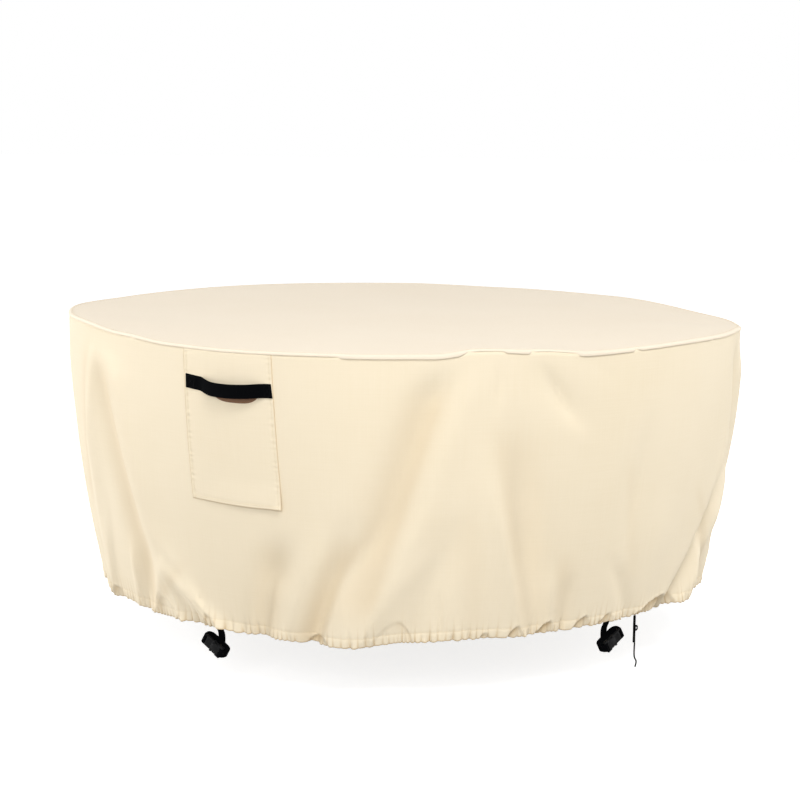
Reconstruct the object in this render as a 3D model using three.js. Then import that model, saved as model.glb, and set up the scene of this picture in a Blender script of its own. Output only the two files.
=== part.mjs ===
// A round fitted cover for patio furniture: a flat cloth top with a raised welt, one gathered skirt,
// a vent flap with a webbing handle, two buckle straps under the hem and the tail of a drawcord.
// Millimetres, +Z up, the front towards -Y. The origin is under the middle of the top.
// An azimuth is in degrees round the cover: 0 at the front, growing towards +X.
// A share runs down the skirt: 0 at the rim and 1 at the hem.
import * as THREE from 'three';

// Driving sizes
const INCH = 25.4;
const RIM_RADIUS = 42 * INCH;
const DROP = 820;
const DRAW_IN = 0.095 * RIM_RADIUS;
const CLOTH = 2;
const HEM_THICKNESS = 4;
const SEAM_GAP = 0.4;
const WEBBING = 1.6;
const HANDLE_WIDTH = 1.5 * INCH;
const STRAP_WIDTH = INCH;
const CORD_DIAMETER = 4.5;

// How finely the cloth is divided: steps round the cover, and rows down the skirt as shares of the drop
const COLUMNS = 160;
const COLUMN_STEP = 360 / COLUMNS;
const ROWS = [0, 0.015, 0.08, 0.18, 0.29, 0.41, 0.543, 0.66, 0.77, 0.87, 0.95, 1];
const HEM_STARTS = 0.95;

// The rim lies unevenly: how far it stands above its level at each azimuth
const RIM_LEVELS = [
  { azimuth: -180, rise: 7 },
  { azimuth: -150, rise: 8 },
  { azimuth: -115, rise: 3 },
  { azimuth: -85, rise: 16 },
  { azimuth: -64, rise: 19 },
  { azimuth: -50, rise: 8 },
  { azimuth: -38, rise: -3 },
  { azimuth: -28, rise: -6 },
  { azimuth: -8, rise: -3 },
  { azimuth: 4, rise: 0 },
  { azimuth: 11, rise: 14 },
  { azimuth: 20, rise: 9 },
  { azimuth: 29, rise: -2 },
  { azimuth: 50, rise: 4 },
  { azimuth: 70, rise: 0 },
  { azimuth: 90, rise: -18 },
  { azimuth: 108, rise: -22 },
  { azimuth: 135, rise: -5 },
  { azimuth: 160, rise: 0 },
];

// The hem hangs unevenly: how far it lies below its level at each azimuth
const HEM_LEVELS = [
  { azimuth: -180, lower: 4 },
  { azimuth: -140, lower: -5 },
  { azimuth: -105, lower: 6 },
  { azimuth: -70, lower: 9 },
  { azimuth: -58, lower: 0 },
  { azimuth: -46, lower: 4 },
  { azimuth: -37, lower: 0 },
  { azimuth: -22, lower: 12 },
  { azimuth: -9, lower: 21 },
  { azimuth: 1, lower: 4 },
  { azimuth: 12, lower: -5 },
  { azimuth: 33, lower: -9 },
  { azimuth: 46, lower: -12 },
  { azimuth: 58, lower: -5 },
  { azimuth: 80, lower: -4 },
  { azimuth: 115, lower: 5 },
  { azimuth: 150, lower: -4 },
];

// The skirt's folds. Each runs straight from one azimuth at the rim to one at the hem and shows between
// two shares of the drop. It stands out by its depth, inwards where that is negative, and fades over its
// half width in degrees.
const FOLDS = [
  { rim: -61, hem: -64, from: 0.04, to: 1, depth: 10, width: 3 },
  { rim: -59.4, hem: -45.8, from: 0.08, to: 0.97, depth: -15, width: 2.8 },
  { rim: -56, hem: -42, from: 0.02, to: 1, depth: 11, width: 3 },
  { rim: -87, hem: -33, from: 0.78, to: 1, depth: 9, width: 2.6 },
  { rim: -10, hem: -23.5, from: 0.58, to: 1, depth: -15, width: 2.6 },
  { rim: -4, hem: -18.5, from: 0.55, to: 1, depth: 9, width: 3 },
  { rim: 7, hem: -15.5, from: 0.56, to: 1, depth: -16, width: 2.6 },
  { rim: 12, hem: -11, from: 0.55, to: 1, depth: 8, width: 2.6 },
  { rim: 7, hem: -10, from: 0.02, to: 0.94, depth: -34, width: 3.6 },
  { rim: 10, hem: -4.5, from: 0.02, to: 0.92, depth: 15, width: 2.8 },
  { rim: 27, hem: -8, from: 0.6, to: 1, depth: 11, width: 2.6 },
  { rim: 16, hem: 2, from: 0.5, to: 1, depth: -12, width: 3 },
  { rim: 9, hem: 19.5, from: 0.28, to: 1, depth: 12, width: 2.8 },
  { rim: 14.7, hem: 22.8, from: 0.16, to: 0.98, depth: -19, width: 2.7 },
  { rim: 19.3, hem: 50, from: 0.02, to: 0.3, depth: -10, width: 2.6 },
  { rim: 42.4, hem: 37.6, from: 0.16, to: 0.86, depth: -8, width: 2.8 },
  { rim: 49, hem: 46, from: 0.5, to: 1, depth: 8, width: 3.4 },
  { rim: 90, hem: 55, from: 0.42, to: 1, depth: -26, width: 3.4 },
  { rim: 97, hem: 61.5, from: 0.45, to: 1, depth: 15, width: 3 },
  { rim: 61, hem: 69.5, from: 0.55, to: 1, depth: -20, width: 2.8 },
  { rim: 72.4, hem: 88, from: 0.02, to: 1, depth: -14, width: 3 },
  { rim: 78, hem: 95, from: 0.05, to: 1, depth: 11, width: 3.2 },
  { rim: 104, hem: 112, from: 0.15, to: 1, depth: -20, width: 3.2 },
  { rim: 126, hem: 119, from: 0.3, to: 1, depth: 13, width: 3.2 },
  { rim: 131, hem: 138, from: 0.05, to: 0.96, depth: -24, width: 3.2 },
  { rim: 150, hem: 145, from: 0.2, to: 1, depth: 14, width: 3 },
  { rim: 158, hem: 162, from: 0.4, to: 1, depth: -18, width: 3 },
  { rim: 172, hem: 176, from: 0.05, to: 1, depth: 12, width: 3.2 },
  { rim: -177, hem: -172, from: 0.1, to: 0.95, depth: -26, width: 3.4 },
  { rim: -160, hem: -163, from: 0.35, to: 1, depth: 12, width: 3 },
  { rim: -149, hem: -155, from: 0.1, to: 1, depth: -18, width: 3 },
  { rim: -138, hem: -141, from: 0.2, to: 1, depth: 13, width: 3.2 },
  { rim: -127, hem: -120, from: 0.05, to: 0.95, depth: -24, width: 3.4 },
  { rim: -112, hem: -110, from: 0.3, to: 1, depth: 12, width: 3 },
  { rim: -99, hem: -103, from: 0.1, to: 1, depth: -17, width: 3 },
  { rim: -88, hem: -85, from: 0.06, to: 1, depth: 12, width: 3.2 },
  { rim: -78, hem: -76, from: 0.1, to: 1, depth: -13, width: 2.8 },
];
const FOLD_FADE = 0.14;

// The top's cross-section from the middle of its upper face, over the welt and the lip that hangs past
// the skirt, and back to the middle of its lower face. The inset is measured inwards from the rim.
const TOP_PROFILE = [
  { inset: 420, height: CLOTH },
  { inset: 200, height: CLOTH },
  { inset: 60, height: CLOTH },
  { inset: 5, height: CLOTH + 1.5 },
  { inset: -3, height: 1.5 },
  { inset: -4.5, height: -5 },
  { inset: -3.5, height: -9 },
  { inset: -1, height: -9 },
  { inset: -1, height: 0 },
  { inset: 60, height: 0 },
  { inset: 200, height: 0 },
  { inset: 420, height: 0 },
];
const FLAT_INSET = 420;

// The vent flap: its side seams as azimuths, its bottom edge as a share, and how far that edge stands off
const FLAP = {
  left: { top: -35.4, bottom: -34.9 },
  right: { top: -20, bottom: -18.75 },
  topShare: 0.019,
  bottomShare: 0.543,
  gap: 0.6,
  cloth: 1.5,
  lift: 5,
  liftStarts: 0.8,
  fullLiftAt: 0.7,
  innerColumns: { first: -15, last: -9 },
};
const FLAP_ROWS = [FLAP.topShare, 0.08, 0.18, 0.29, 0.41, 0.48, FLAP.bottomShare];
const FLAP_FACE = FLAP.gap + FLAP.cloth;

// The handle's webbing from its left end to its right end: where its middle line lies on the flap, and
// how far it stands off it
const HANDLE_PATH = [
  { azimuth: -35, share: 0.118, stand: 0 },
  { azimuth: -33.4, share: 0.121, stand: 0 },
  { azimuth: -32, share: 0.124, stand: 1.5 },
  { azimuth: -30.6, share: 0.131, stand: 13 },
  { azimuth: -28.6, share: 0.135, stand: 24 },
  { azimuth: -26, share: 0.136, stand: 28 },
  { azimuth: -23.6, share: 0.134, stand: 24 },
  { azimuth: -21.9, share: 0.13, stand: 11 },
  { azimuth: -21, share: 0.129, stand: 2 },
  { azimuth: -20, share: 0.1285, stand: 0 },
];
const HANDLE_GAP = 0.9;

// The half-moon grip pad behind the handle
const PAD = { middle: -26, halfWidth: 3.9, top: 0.126, bottom: 0.176, endHeight: 8, thickness: 3, steps: 8 };

// The buckle straps. Their loop lies in a tilted plane: along runs down the slope, out towards the front.
const STRAP_TILT = 30;
const LOOP_MIDDLE = { back: 6, below: 57 };
const LOOP_BACK = 21;
const LOOP_PATH = [
  { along: 38.6, out: 13 },
  { along: 44, out: 7 },
  { along: 44, out: -9 },
  { along: 34, out: -19 },
  { along: 12, out: -LOOP_BACK },
  { along: -14, out: -LOOP_BACK },
  { along: -34, out: -19 },
  { along: -43, out: -9 },
  { along: -43, out: 6 },
  { along: -37.6, out: 13 },
];
const HOUSING = { from: -3, to: 37, width: 36, thickness: 12, back: 8, round: 7 };
const CLIP = { from: -36, to: -3.5, width: 31, thickness: 9, back: 9, round: 5 };
const TAB = { across: 4, sewn: 30, clearance: 7, behind: 0.5, levelFrom: -30, end: -74 };
const STRAPS = [
  { name: 'left', azimuth: -33.7, mirrored: false },
  { name: 'right', azimuth: 39.3, mirrored: true },
];

// The drawcord's tail: its place on the hem, the two free ends as they hang, and the knot's ring
const CORD_AZIMUTH = 44.9;
const LONG_END = [
  { side: 0, below: 0.6 },
  { side: 0, below: 30 },
  { side: 0.4, below: 75 },
  { side: 1.5, below: 118 },
  { side: 10, below: 131 },
  { side: 6, below: 147 },
];
const SHORT_END = [
  { side: -5, below: 0.6 },
  { side: -5.2, below: 26 },
  { side: -4.9, below: 55 },
  { side: -5.4, below: 82 },
];
const KNOT = { ring: 6, below: 36, side: 10.8, sides: 8, segments: 14 };

const UP = new THREE.Vector3(0, 0, 1);
const SIDEWAYS = new THREE.Vector3(1, 0, 0);

const radians = (degrees) => (degrees * Math.PI) / 180;
const mix = (a, b, part) => a + (b - a) * part;
const clamp01 = (value) => Math.min(1, Math.max(0, value));

function smooth(value) {
  const v = clamp01(value);
  return v * v * (3 - 2 * v);
}

// The signed way from one azimuth to another, the short way round
function turnBetween(from, to) {
  return ((((to - from + 180) % 360) + 360) % 360) - 180;
}

// A table's column at an azimuth, blended smoothly between its rows and closed round the cover
function levelAt(table, column, azimuth) {
  const last = table.length - 1;
  const place = (((azimuth + 180) % 360) + 360) % 360 - 180;
  const after = table.findIndex((row) => row.azimuth > place);
  const a = table[after < 0 ? last : after - 1];
  const b = table[after < 0 ? 0 : after];
  const span = after < 0 ? table[0].azimuth + 360 - a.azimuth : b.azimuth - a.azimuth;
  return mix(a[column], b[column], smooth((place - a.azimuth) / span));
}

// How far one fold moves the skirt out or in
function foldDepth(fold, azimuth, share) {
  const middle = fold.rim + turnBetween(fold.rim, fold.hem) * share;
  const away = turnBetween(middle, azimuth) / fold.width;
  const rises = smooth((share - fold.from) / FOLD_FADE);
  const falls = fold.to < 1 ? smooth((fold.to - share) / FOLD_FADE) : 1;
  return fold.depth * Math.exp(-away * away) * rises * falls;
}

function skirtRadius(azimuth, share) {
  const drawn = RIM_RADIUS - DRAW_IN * share * share;
  return FOLDS.reduce((radius, fold) => radius + foldDepth(fold, azimuth, share), drawn);
}

function skirtHeight(azimuth, share) {
  const rim = levelAt(RIM_LEVELS, 'rise', azimuth) - SEAM_GAP;
  const hem = -DROP - levelAt(HEM_LEVELS, 'lower', azimuth);
  return mix(rim, hem, share);
}

function aroundAxis(azimuth, radius, height) {
  const turn = radians(azimuth);
  return new THREE.Vector3(radius * Math.sin(turn), -radius * Math.cos(turn), height);
}

// A point on the skirt's outer face, moved outwards by the given distance
function onSkirt(azimuth, share, outward) {
  return aroundAxis(azimuth, skirtRadius(azimuth, share) + outward, skirtHeight(azimuth, share));
}

function signedVolume(points, faces) {
  let sum = 0;
  for (let i = 0; i < faces.length; i += 3) {
    const [a, b, c] = [points[faces[i]], points[faces[i + 1]], points[faces[i + 2]]];
    sum += a.dot(b.clone().cross(c)) / 6;
  }
  return sum;
}

function closedBody(points, faces) {
  if (signedVolume(points, faces) < 0) {
    faces.reverse();
  }
  const geometry = new THREE.BufferGeometry().setFromPoints(points);
  geometry.setIndex(faces);
  geometry.computeVertexNormals();
  return geometry;
}

// A solid through a row of rings with equally many points, with both end rings covered
function rod(rings) {
  const size = rings[0].length;
  const faces = [...ringCap(0, size, false), ...ringCap((rings.length - 1) * size, size, true)];
  for (let here = 0; here < (rings.length - 1) * size; here += size) {
    for (let k = 0; k < size; k += 1) {
      const next = (k + 1) % size;
      const there = here + size;
      faces.push(here + k, there + k, there + next, here + k, there + next, here + next);
    }
  }
  return closedBody(rings.flat(), faces);
}

// The solid of a sheet between two grids with the same rows and columns. Both faces are split along the
// outer one's shorter diagonals. The first and last columns join where the sheet goes all the way round.
function sheet(outer, inner, goesRound) {
  const [rows, columns] = [outer.length, outer[0].length];
  const points = [...outer.flat(), ...inner.flat()];
  const half = rows * columns;
  const at = (row, column) => row * columns + (column % columns);
  const faces = [];
  const quad = (a, b, c, d) => faces.push(a, b, c, a, c, d);
  const edge = (a, b) => quad(a, b, b + half, a + half);
  const lastColumn = columns - 1;
  const spans = goesRound ? columns : lastColumn;
  for (let row = 0; row < rows - 1; row += 1) {
    for (let k = 0; k < spans; k += 1) {
      const [a, b, c, d] = [at(row, k), at(row + 1, k), at(row + 1, k + 1), at(row, k + 1)];
      if (points[a].distanceTo(points[c]) <= points[b].distanceTo(points[d])) {
        quad(a, b, c, d);
        quad(a + half, d + half, c + half, b + half);
      } else {
        quad(b, c, d, a);
        quad(b + half, a + half, d + half, c + half);
      }
    }
    if (!goesRound) {
      edge(at(row + 1, 0), at(row, 0));
      edge(at(row, lastColumn), at(row + 1, lastColumn));
    }
  }
  for (let k = 0; k < spans; k += 1) {
    edge(at(0, k), at(0, k + 1));
    edge(at(rows - 1, k + 1), at(rows - 1, k));
  }
  return closedBody(points, faces);
}

// Covers a ring with a strip of triangles between its first half and its second half
function ringCap(start, size, turned) {
  const faces = [];
  for (let k = 0; k < size / 2 - 1; k += 1) {
    const [a, b] = [start + k, start + k + 1];
    const [c, d] = [start + size - 2 - k, start + size - 1 - k];
    faces.push(a, b, c, a, c, d);
  }
  return turned ? faces.reverse() : faces;
}

function fullCircle(pointAt) {
  return Array.from({ length: COLUMNS }, (_, k) => pointAt(k * COLUMN_STEP));
}

function material(color, roughness) {
  return new THREE.MeshStandardMaterial({ color, roughness, metalness: 0 });
}

const CREAM_CLOTH = material(0xf2e4ca, 0.85);
const BLACK_WEBBING = material(0x0b0c0e, 0.8);
const BROWN_PAD = material(0x82603f, 0.85);
const BLACK_PLASTIC = material(0x17191b, 0.45);
const BLACK_CORD = material(0x08090a, 0.7);

function part(name, geometry, look) {
  const mesh = new THREE.Mesh(geometry, look);
  mesh.name = name;
  return mesh;
}

// The round top, flat in the middle and uneven towards its rim
function topPanel() {
  const rings = TOP_PROFILE.map(({ inset, height }) => {
    const blend = smooth((FLAT_INSET - inset) / FLAT_INSET);
    return fullCircle((azimuth) => {
      const rise = levelAt(RIM_LEVELS, 'rise', azimuth) * blend;
      return aroundAxis(azimuth, RIM_RADIUS - inset, height + rise);
    });
  });
  return part('top_panel', rod(rings), CREAM_CLOTH);
}

// The skirt in one piece with its folded hem, which is thicker than the cloth
function skirt() {
  const thickness = (share) => (share > HEM_STARTS ? HEM_THICKNESS : CLOTH);
  const outer = ROWS.map((share) => fullCircle((azimuth) => onSkirt(azimuth, share, 0)));
  const inner = ROWS.map((share) => fullCircle((azimuth) => onSkirt(azimuth, share, -thickness(share))));
  return part('skirt', sheet(outer, inner, true), CREAM_CLOTH);
}

// The vent flap, sewn at its sides and top, with its bottom edge standing off towards the right corner
function ventFlap() {
  const grid = (outward) => FLAP_ROWS.map((share) => {
    const down = (share - FLAP.topShare) / (FLAP.bottomShare - FLAP.topShare);
    const left = mix(FLAP.left.top, FLAP.left.bottom, down);
    const right = mix(FLAP.right.top, FLAP.right.bottom, down);
    const columns = [left];
    for (let column = FLAP.innerColumns.first; column <= FLAP.innerColumns.last; column += 1) {
      columns.push(column * COLUMN_STEP);
    }
    columns.push(right);
    const lift = FLAP.lift * smooth((down - FLAP.liftStarts) / (1 - FLAP.liftStarts));
    const stand = (azimuth) => lift * smooth((azimuth - left) / (right - left) / FLAP.fullLiftAt);
    return columns.map((azimuth) => onSkirt(azimuth, share, outward + stand(azimuth)));
  });
  return part('vent_flap', sheet(grid(FLAP_FACE), grid(FLAP.gap), false), CREAM_CLOTH);
}

// A flat strip of webbing along a path of points, with its width in the sideways direction
function strip(points, sideways, width) {
  const curve = new THREE.CatmullRomCurve3(points, false, 'centripetal');
  const steps = 2 * points.length;
  const rings = [];
  for (let s = 0; s <= steps; s += 1) {
    const at = curve.getPoint(s / steps);
    const along = curve.getTangent(s / steps);
    const across = sideways.clone().addScaledVector(along, -along.dot(sideways)).setLength(width / 2);
    const through = along.clone().cross(across).setLength(WEBBING / 2);
    rings.push([
      at.clone().add(across).add(through),
      at.clone().sub(across).add(through),
      at.clone().sub(across).sub(through),
      at.clone().add(across).sub(through),
    ]);
  }
  return rod(rings);
}

// The handle's webbing, sewn flat at both ends and standing off in the middle
function handleStrap() {
  const middle = FLAP_FACE + HANDLE_GAP + WEBBING / 2;
  const points = HANDLE_PATH.map(({ azimuth, share, stand }) => onSkirt(azimuth, share, middle + stand));
  return part('handle_strap', strip(points, UP, HANDLE_WIDTH), BLACK_WEBBING);
}

// The half-moon pad: straight along its hidden upper edge, an arc along its lower edge
function gripPad() {
  const rings = [];
  for (let s = 0; s <= PAD.steps; s += 1) {
    const across = (2 * s) / PAD.steps - 1;
    const azimuth = PAD.middle + across * PAD.halfWidth;
    const endShare = PAD.top + PAD.endHeight / DROP;
    const lower = mix(endShare, PAD.bottom, Math.sqrt(1 - across * across));
    const back = FLAP_FACE + SEAM_GAP;
    const face = back + PAD.thickness;
    rings.push([
      onSkirt(azimuth, PAD.top, face),
      onSkirt(azimuth, lower, face),
      onSkirt(azimuth, lower, back),
      onSkirt(azimuth, PAD.top, back),
    ]);
  }
  return part('grip_pad', rod(rings), BROWN_PAD);
}

// A group whose origin is on the hem's outer face, with +X sideways, -Y outwards and +Z up
function hemGroup(azimuth) {
  const group = new THREE.Group();
  group.position.copy(onSkirt(azimuth, 1, 0));
  group.rotation.z = radians(azimuth);
  return group;
}

// One half of a buckle: a rounded block that faces outwards
function buckleHalf({ from, to, width, thickness, back, round }) {
  const [low, high] = [-width / 2, width / 2];
  const outline = new THREE.Shape();
  outline.moveTo(from + round, low);
  outline.lineTo(to - round, low);
  outline.absarc(to - round, low + round, round, -Math.PI / 2, 0);
  outline.absarc(to - round, high - round, round, 0, Math.PI / 2);
  outline.absarc(from + round, high - round, round, Math.PI / 2, Math.PI);
  outline.absarc(from + round, low + round, round, Math.PI, 1.5 * Math.PI);
  const block = new THREE.ExtrudeGeometry(outline, {
    depth: thickness,
    bevelEnabled: false,
    curveSegments: 4,
  });
  return block.rotateX(Math.PI / 2).translate(0, -back, 0);
}

// The tab that holds a loop: sewn inside the hem, then down behind the loop's back
function strapTab(azimuth) {
  const wallInset = (height) => {
    const share = 1 - height / DROP;
    const leaning = skirtRadius(azimuth, 1) - skirtRadius(azimuth, share);
    return leaning + HEM_THICKNESS + TAB.clearance;
  };
  const behindLoop = LOOP_MIDDLE.back + LOOP_BACK + WEBBING + TAB.behind;
  const places = [
    { y: wallInset(TAB.sewn), z: TAB.sewn },
    { y: wallInset(TAB.sewn / 2), z: TAB.sewn / 2 },
    { y: wallInset(0), z: 0 },
    { y: mix(wallInset(0), behindLoop, 0.5), z: TAB.levelFrom / 2 },
    { y: behindLoop, z: TAB.levelFrom },
    { y: behindLoop, z: TAB.end },
  ];
  const points = places.map(({ y, z }) => new THREE.Vector3(TAB.across, y, z));
  return strip(points, SIDEWAYS, STRAP_WIDTH);
}

// A closed strap: the tab, the loop of webbing behind and the two halves of the buckle in front
function buckleStrap({ name, azimuth, mirrored }) {
  const group = hemGroup(azimuth);
  group.scale.x = mirrored ? -1 : 1;
  const points = LOOP_PATH.map(({ along, out }) => new THREE.Vector3(along, -out, 0));
  const loop = new THREE.Group();
  loop.position.set(0, LOOP_MIDDLE.back, -LOOP_MIDDLE.below);
  loop.rotation.y = radians(STRAP_TILT);
  loop.add(part(`${name}_strap_loop`, strip(points, UP, STRAP_WIDTH), BLACK_WEBBING));
  loop.add(part(`${name}_buckle_housing`, buckleHalf(HOUSING), BLACK_PLASTIC));
  loop.add(part(`${name}_buckle_clip`, buckleHalf(CLIP), BLACK_PLASTIC));
  group.add(part(`${name}_strap_tab`, strapTab(azimuth), BLACK_WEBBING));
  group.add(loop);
  return group;
}

// A round cord through a row of places that hang below the hem
function hangingCord(places, steps) {
  const points = places.map(({ side, below }) => new THREE.Vector3(side, HEM_THICKNESS / 2, -below));
  const section = new THREE.Shape().absarc(0, 0, CORD_DIAMETER / 2, 0, 2 * Math.PI);
  return new THREE.ExtrudeGeometry(section, {
    steps,
    curveSegments: 5,
    bevelEnabled: false,
    extrudePath: new THREE.CatmullRomCurve3(points, false, 'centripetal'),
  });
}

// The knot's ring, which hangs beside the long end and faces outwards
function knotRing() {
  const middle = new THREE.Vector2(KNOT.ring, 0);
  const section = Array.from({ length: KNOT.sides + 1 }, (_, k) => {
    const turn = ((k % KNOT.sides) / KNOT.sides) * 2 * Math.PI;
    return new THREE.Vector2(Math.cos(turn), Math.sin(turn)).multiplyScalar(CORD_DIAMETER / 2).add(middle);
  });
  return new THREE.LatheGeometry(section, KNOT.segments).translate(KNOT.side, HEM_THICKNESS / 2, -KNOT.below);
}

function drawcord() {
  const group = hemGroup(CORD_AZIMUTH);
  group.add(part('drawcord_long_end', hangingCord(LONG_END, 15), BLACK_CORD));
  group.add(part('drawcord_short_end', hangingCord(SHORT_END, 8), BLACK_CORD));
  group.add(part('drawcord_knot', knotRing(), BLACK_CORD));
  return group;
}

const cover = new THREE.Group();
cover.add(topPanel(), skirt(), ventFlap(), handleStrap(), gripPad());
cover.add(...STRAPS.map(buckleStrap), drawcord());
export default cover;
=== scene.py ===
import math
from collections import namedtuple

import bpy
import numpy as np
from mathutils import Matrix, Vector


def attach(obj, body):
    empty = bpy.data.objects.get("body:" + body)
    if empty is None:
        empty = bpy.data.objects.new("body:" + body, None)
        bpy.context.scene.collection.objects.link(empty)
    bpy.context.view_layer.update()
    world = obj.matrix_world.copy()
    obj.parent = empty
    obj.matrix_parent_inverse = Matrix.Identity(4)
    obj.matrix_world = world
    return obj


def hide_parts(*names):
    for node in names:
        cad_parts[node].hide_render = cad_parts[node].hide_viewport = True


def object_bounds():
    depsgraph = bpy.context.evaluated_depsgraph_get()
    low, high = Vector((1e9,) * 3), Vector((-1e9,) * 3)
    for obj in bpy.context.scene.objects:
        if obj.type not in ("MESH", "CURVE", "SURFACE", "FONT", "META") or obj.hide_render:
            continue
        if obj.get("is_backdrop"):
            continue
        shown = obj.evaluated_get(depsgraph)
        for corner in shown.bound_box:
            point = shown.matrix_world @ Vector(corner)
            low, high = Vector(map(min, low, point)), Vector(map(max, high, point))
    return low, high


# A round fitted cover for patio furniture, as it hangs when it is drawn over a round set. Metres, +Z up,
# the front towards -Y, the origin under the middle of the top. An azimuth is in degrees round the cover,
# 0 at the front and growing towards +X. A share runs down the skirt, 0 at the rim and 1 at the hem.
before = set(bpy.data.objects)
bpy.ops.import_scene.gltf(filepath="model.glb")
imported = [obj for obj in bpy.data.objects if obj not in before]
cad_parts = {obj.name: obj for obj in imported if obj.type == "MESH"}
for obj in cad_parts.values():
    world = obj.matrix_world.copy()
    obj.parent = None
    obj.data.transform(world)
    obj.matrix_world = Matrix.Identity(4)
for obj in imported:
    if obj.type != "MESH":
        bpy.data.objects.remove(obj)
cad_low, cad_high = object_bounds()
scene = bpy.context.scene

# The camera
# It stands six times the rim's radius in front of the cover's middle, a little above the top, and looks
# slightly down, with the small roll of a camera held by hand.
INCH = 0.0254
RIM_RADIUS = 42 * INCH
CAMERA_PLACE = Vector((-0.012, -6, 0.618)) * RIM_RADIUS
CAMERA_PITCH = math.radians(90 - 8.33)
CAMERA_ROLL = math.radians(0.62)
SENSOR_WIDTH = 36
FOCAL_LENGTH = 89.8


def add_object(name, data):
    """An object of the given data, in the scene."""
    made = bpy.data.objects.new(name, data)
    scene.collection.objects.link(made)
    return made


camera_data = bpy.data.cameras.new("camera")
camera_data.sensor_width = SENSOR_WIDTH
camera_data.lens = FOCAL_LENGTH
camera_turn = Matrix.Rotation(CAMERA_PITCH, 4, "X") @ Matrix.Rotation(CAMERA_ROLL, 4, "Z")
scene.camera = add_object("camera", camera_data)
scene.camera.matrix_world = Matrix.Translation(CAMERA_PLACE) @ camera_turn

# The floor and the light
# A white studio: a pale floor below the cover, and white surroundings.
# Two large soft lights in front of the cover, one of them high up, give the folds their shape, and one at
# each side keeps its edges light.
FLOOR_LEVEL = -1.002
FLOOR_REACH = 60
FLOOR_CORNERS = ((-1, -1), (1, -1), (1, 1), (-1, 1))
FLOOR_COLOUR = (0.55, 0.55, 0.55, 1)
WHITE = (1, 1, 1, 1)
# How strongly the floor and the surroundings glow for the cover, and for the camera
FLOOR_GLOW = (0.0, 0.78)
SURROUNDINGS_GLOW = (0.48, 1.0)
LIT_PLACE = Vector((0, 0, -0.3))


def set_inputs(node, inputs):
    """Gives each of a node's inputs a plain value or another node's output."""
    for name, value in inputs.items():
        if isinstance(value, bpy.types.NodeSocket):
            node.id_data.links.new(value, node.inputs[name])
        else:
            node.inputs[name].default_value = value


def add_node(tree, kind, inputs=None, **settings):
    """Adds a node with its settings and inputs to a node tree."""
    made = tree.nodes.new(kind)
    for name, value in settings.items():
        setattr(made, name, value)
    set_inputs(made, inputs or {})
    return made


def new_material(name):
    """A material with its node tree and its shader, which the caller gives all inputs."""
    made = bpy.data.materials.new(name)
    made.use_nodes = True
    tree = made.node_tree
    tree.nodes.clear()
    shader = add_node(tree, "ShaderNodeBsdfPrincipled")
    add_node(tree, "ShaderNodeOutputMaterial", {"Surface": shader.outputs["BSDF"]})
    return made, tree, shader


def ranged(tree, value, start, end, low=0.0, high=1.0):
    """A value that runs from low to high while the given one runs from start to end."""
    inputs = {"Value": value, "From Min": start, "From Max": end, "To Min": low, "To Max": high}
    return add_node(tree, "ShaderNodeMapRange", inputs).outputs[0]


def for_camera(tree, otherwise, seen):
    """A value that is the second number where the camera looks straight at a thing, else the first."""
    path = add_node(tree, "ShaderNodeLightPath")
    return ranged(tree, path.outputs["Is Camera Ray"], 0, 1, otherwise, seen)


def floor_paint():
    """White paint that glows a little for the camera, so that its shadow stays as light as in a studio."""
    made, tree, shader = new_material("floor_paint")
    set_inputs(shader, {
        "Base Color": FLOOR_COLOUR,
        "Roughness": 1.0,
        "Specular IOR Level": 0.0,
        "Emission Color": WHITE,
        "Emission Strength": for_camera(tree, *FLOOR_GLOW),
    })
    return made


floor_mesh = bpy.data.meshes.new("studio_floor")
floor_points = [(x * FLOOR_REACH, y * FLOOR_REACH, FLOOR_LEVEL) for x, y in FLOOR_CORNERS]
floor_mesh.from_pydata(floor_points, [], [(0, 1, 2, 3)])
floor_mesh.materials.append(floor_paint())
floor = add_object("studio_floor", floor_mesh)
floor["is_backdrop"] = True


def soft_light(name, place, size, power):
    """A square area light that faces the cover."""
    data = bpy.data.lights.new(name, "AREA")
    data.shape = "SQUARE"
    data.size = size
    data.energy = power
    facing = (LIT_PLACE - Vector(place)).to_track_quat("-Z", "Y").to_matrix().to_4x4()
    add_object(name, data).matrix_world = Matrix.Translation(place) @ facing


soft_light("key_light", (1.9, -5.7, 6.0), 3, 340)
soft_light("front_light", (-2.3, -9, 3), 4, 280)
soft_light("left_light", (-7, 1.8, 1.2), 3, 320)
soft_light("right_light", (7, 1.8, 1.2), 3, 225)
world = bpy.data.worlds.new("white_studio")
world.use_nodes = True
glow = for_camera(world.node_tree, *SURROUNDINGS_GLOW)
set_inputs(world.node_tree.nodes["Background"], {"Color": WHITE, "Strength": glow})
scene.world = world
scene.view_settings.view_transform = "Standard"

# The skirt
# One gathered piece of coated polyester cloth, sewn to the top's edge and drawn in at the hem, where it is
# turned up round the drawcord. Its folds, creases and puckers come from the gathers and from what it covers.
DROP = 0.820
DRAW_IN = 0.095 * RIM_RADIUS
SEAM_GAP = 0.0004
CLOTH = 0.002
HEM_THICKNESS = 0.004
CASING = 0.026
# A fold that starts near the rim fades in over the first share of the drop, and any other over the second
# or over half its own length, if that is less. Each fades out over the second in the same way.
NEAR_RIM = 0.1
FOLD_FADE = 0.14
SLOW_FADE = 0.36

# How far the rim stands above its level at each azimuth
RIM_RISE = {
    -180: 0.007, -150: 0.008, -115: 0.003, -85: 0.016, -64: 0.019, -50: 0.008, -38: -0.003,
    -28: -0.006, -8: -0.003, 4: 0, 11: 0.014, 20: 0.009, 29: -0.002, 50: 0.004, 70: 0,
    90: -0.018, 108: -0.022, 135: -0.005, 160: 0,
}
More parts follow.
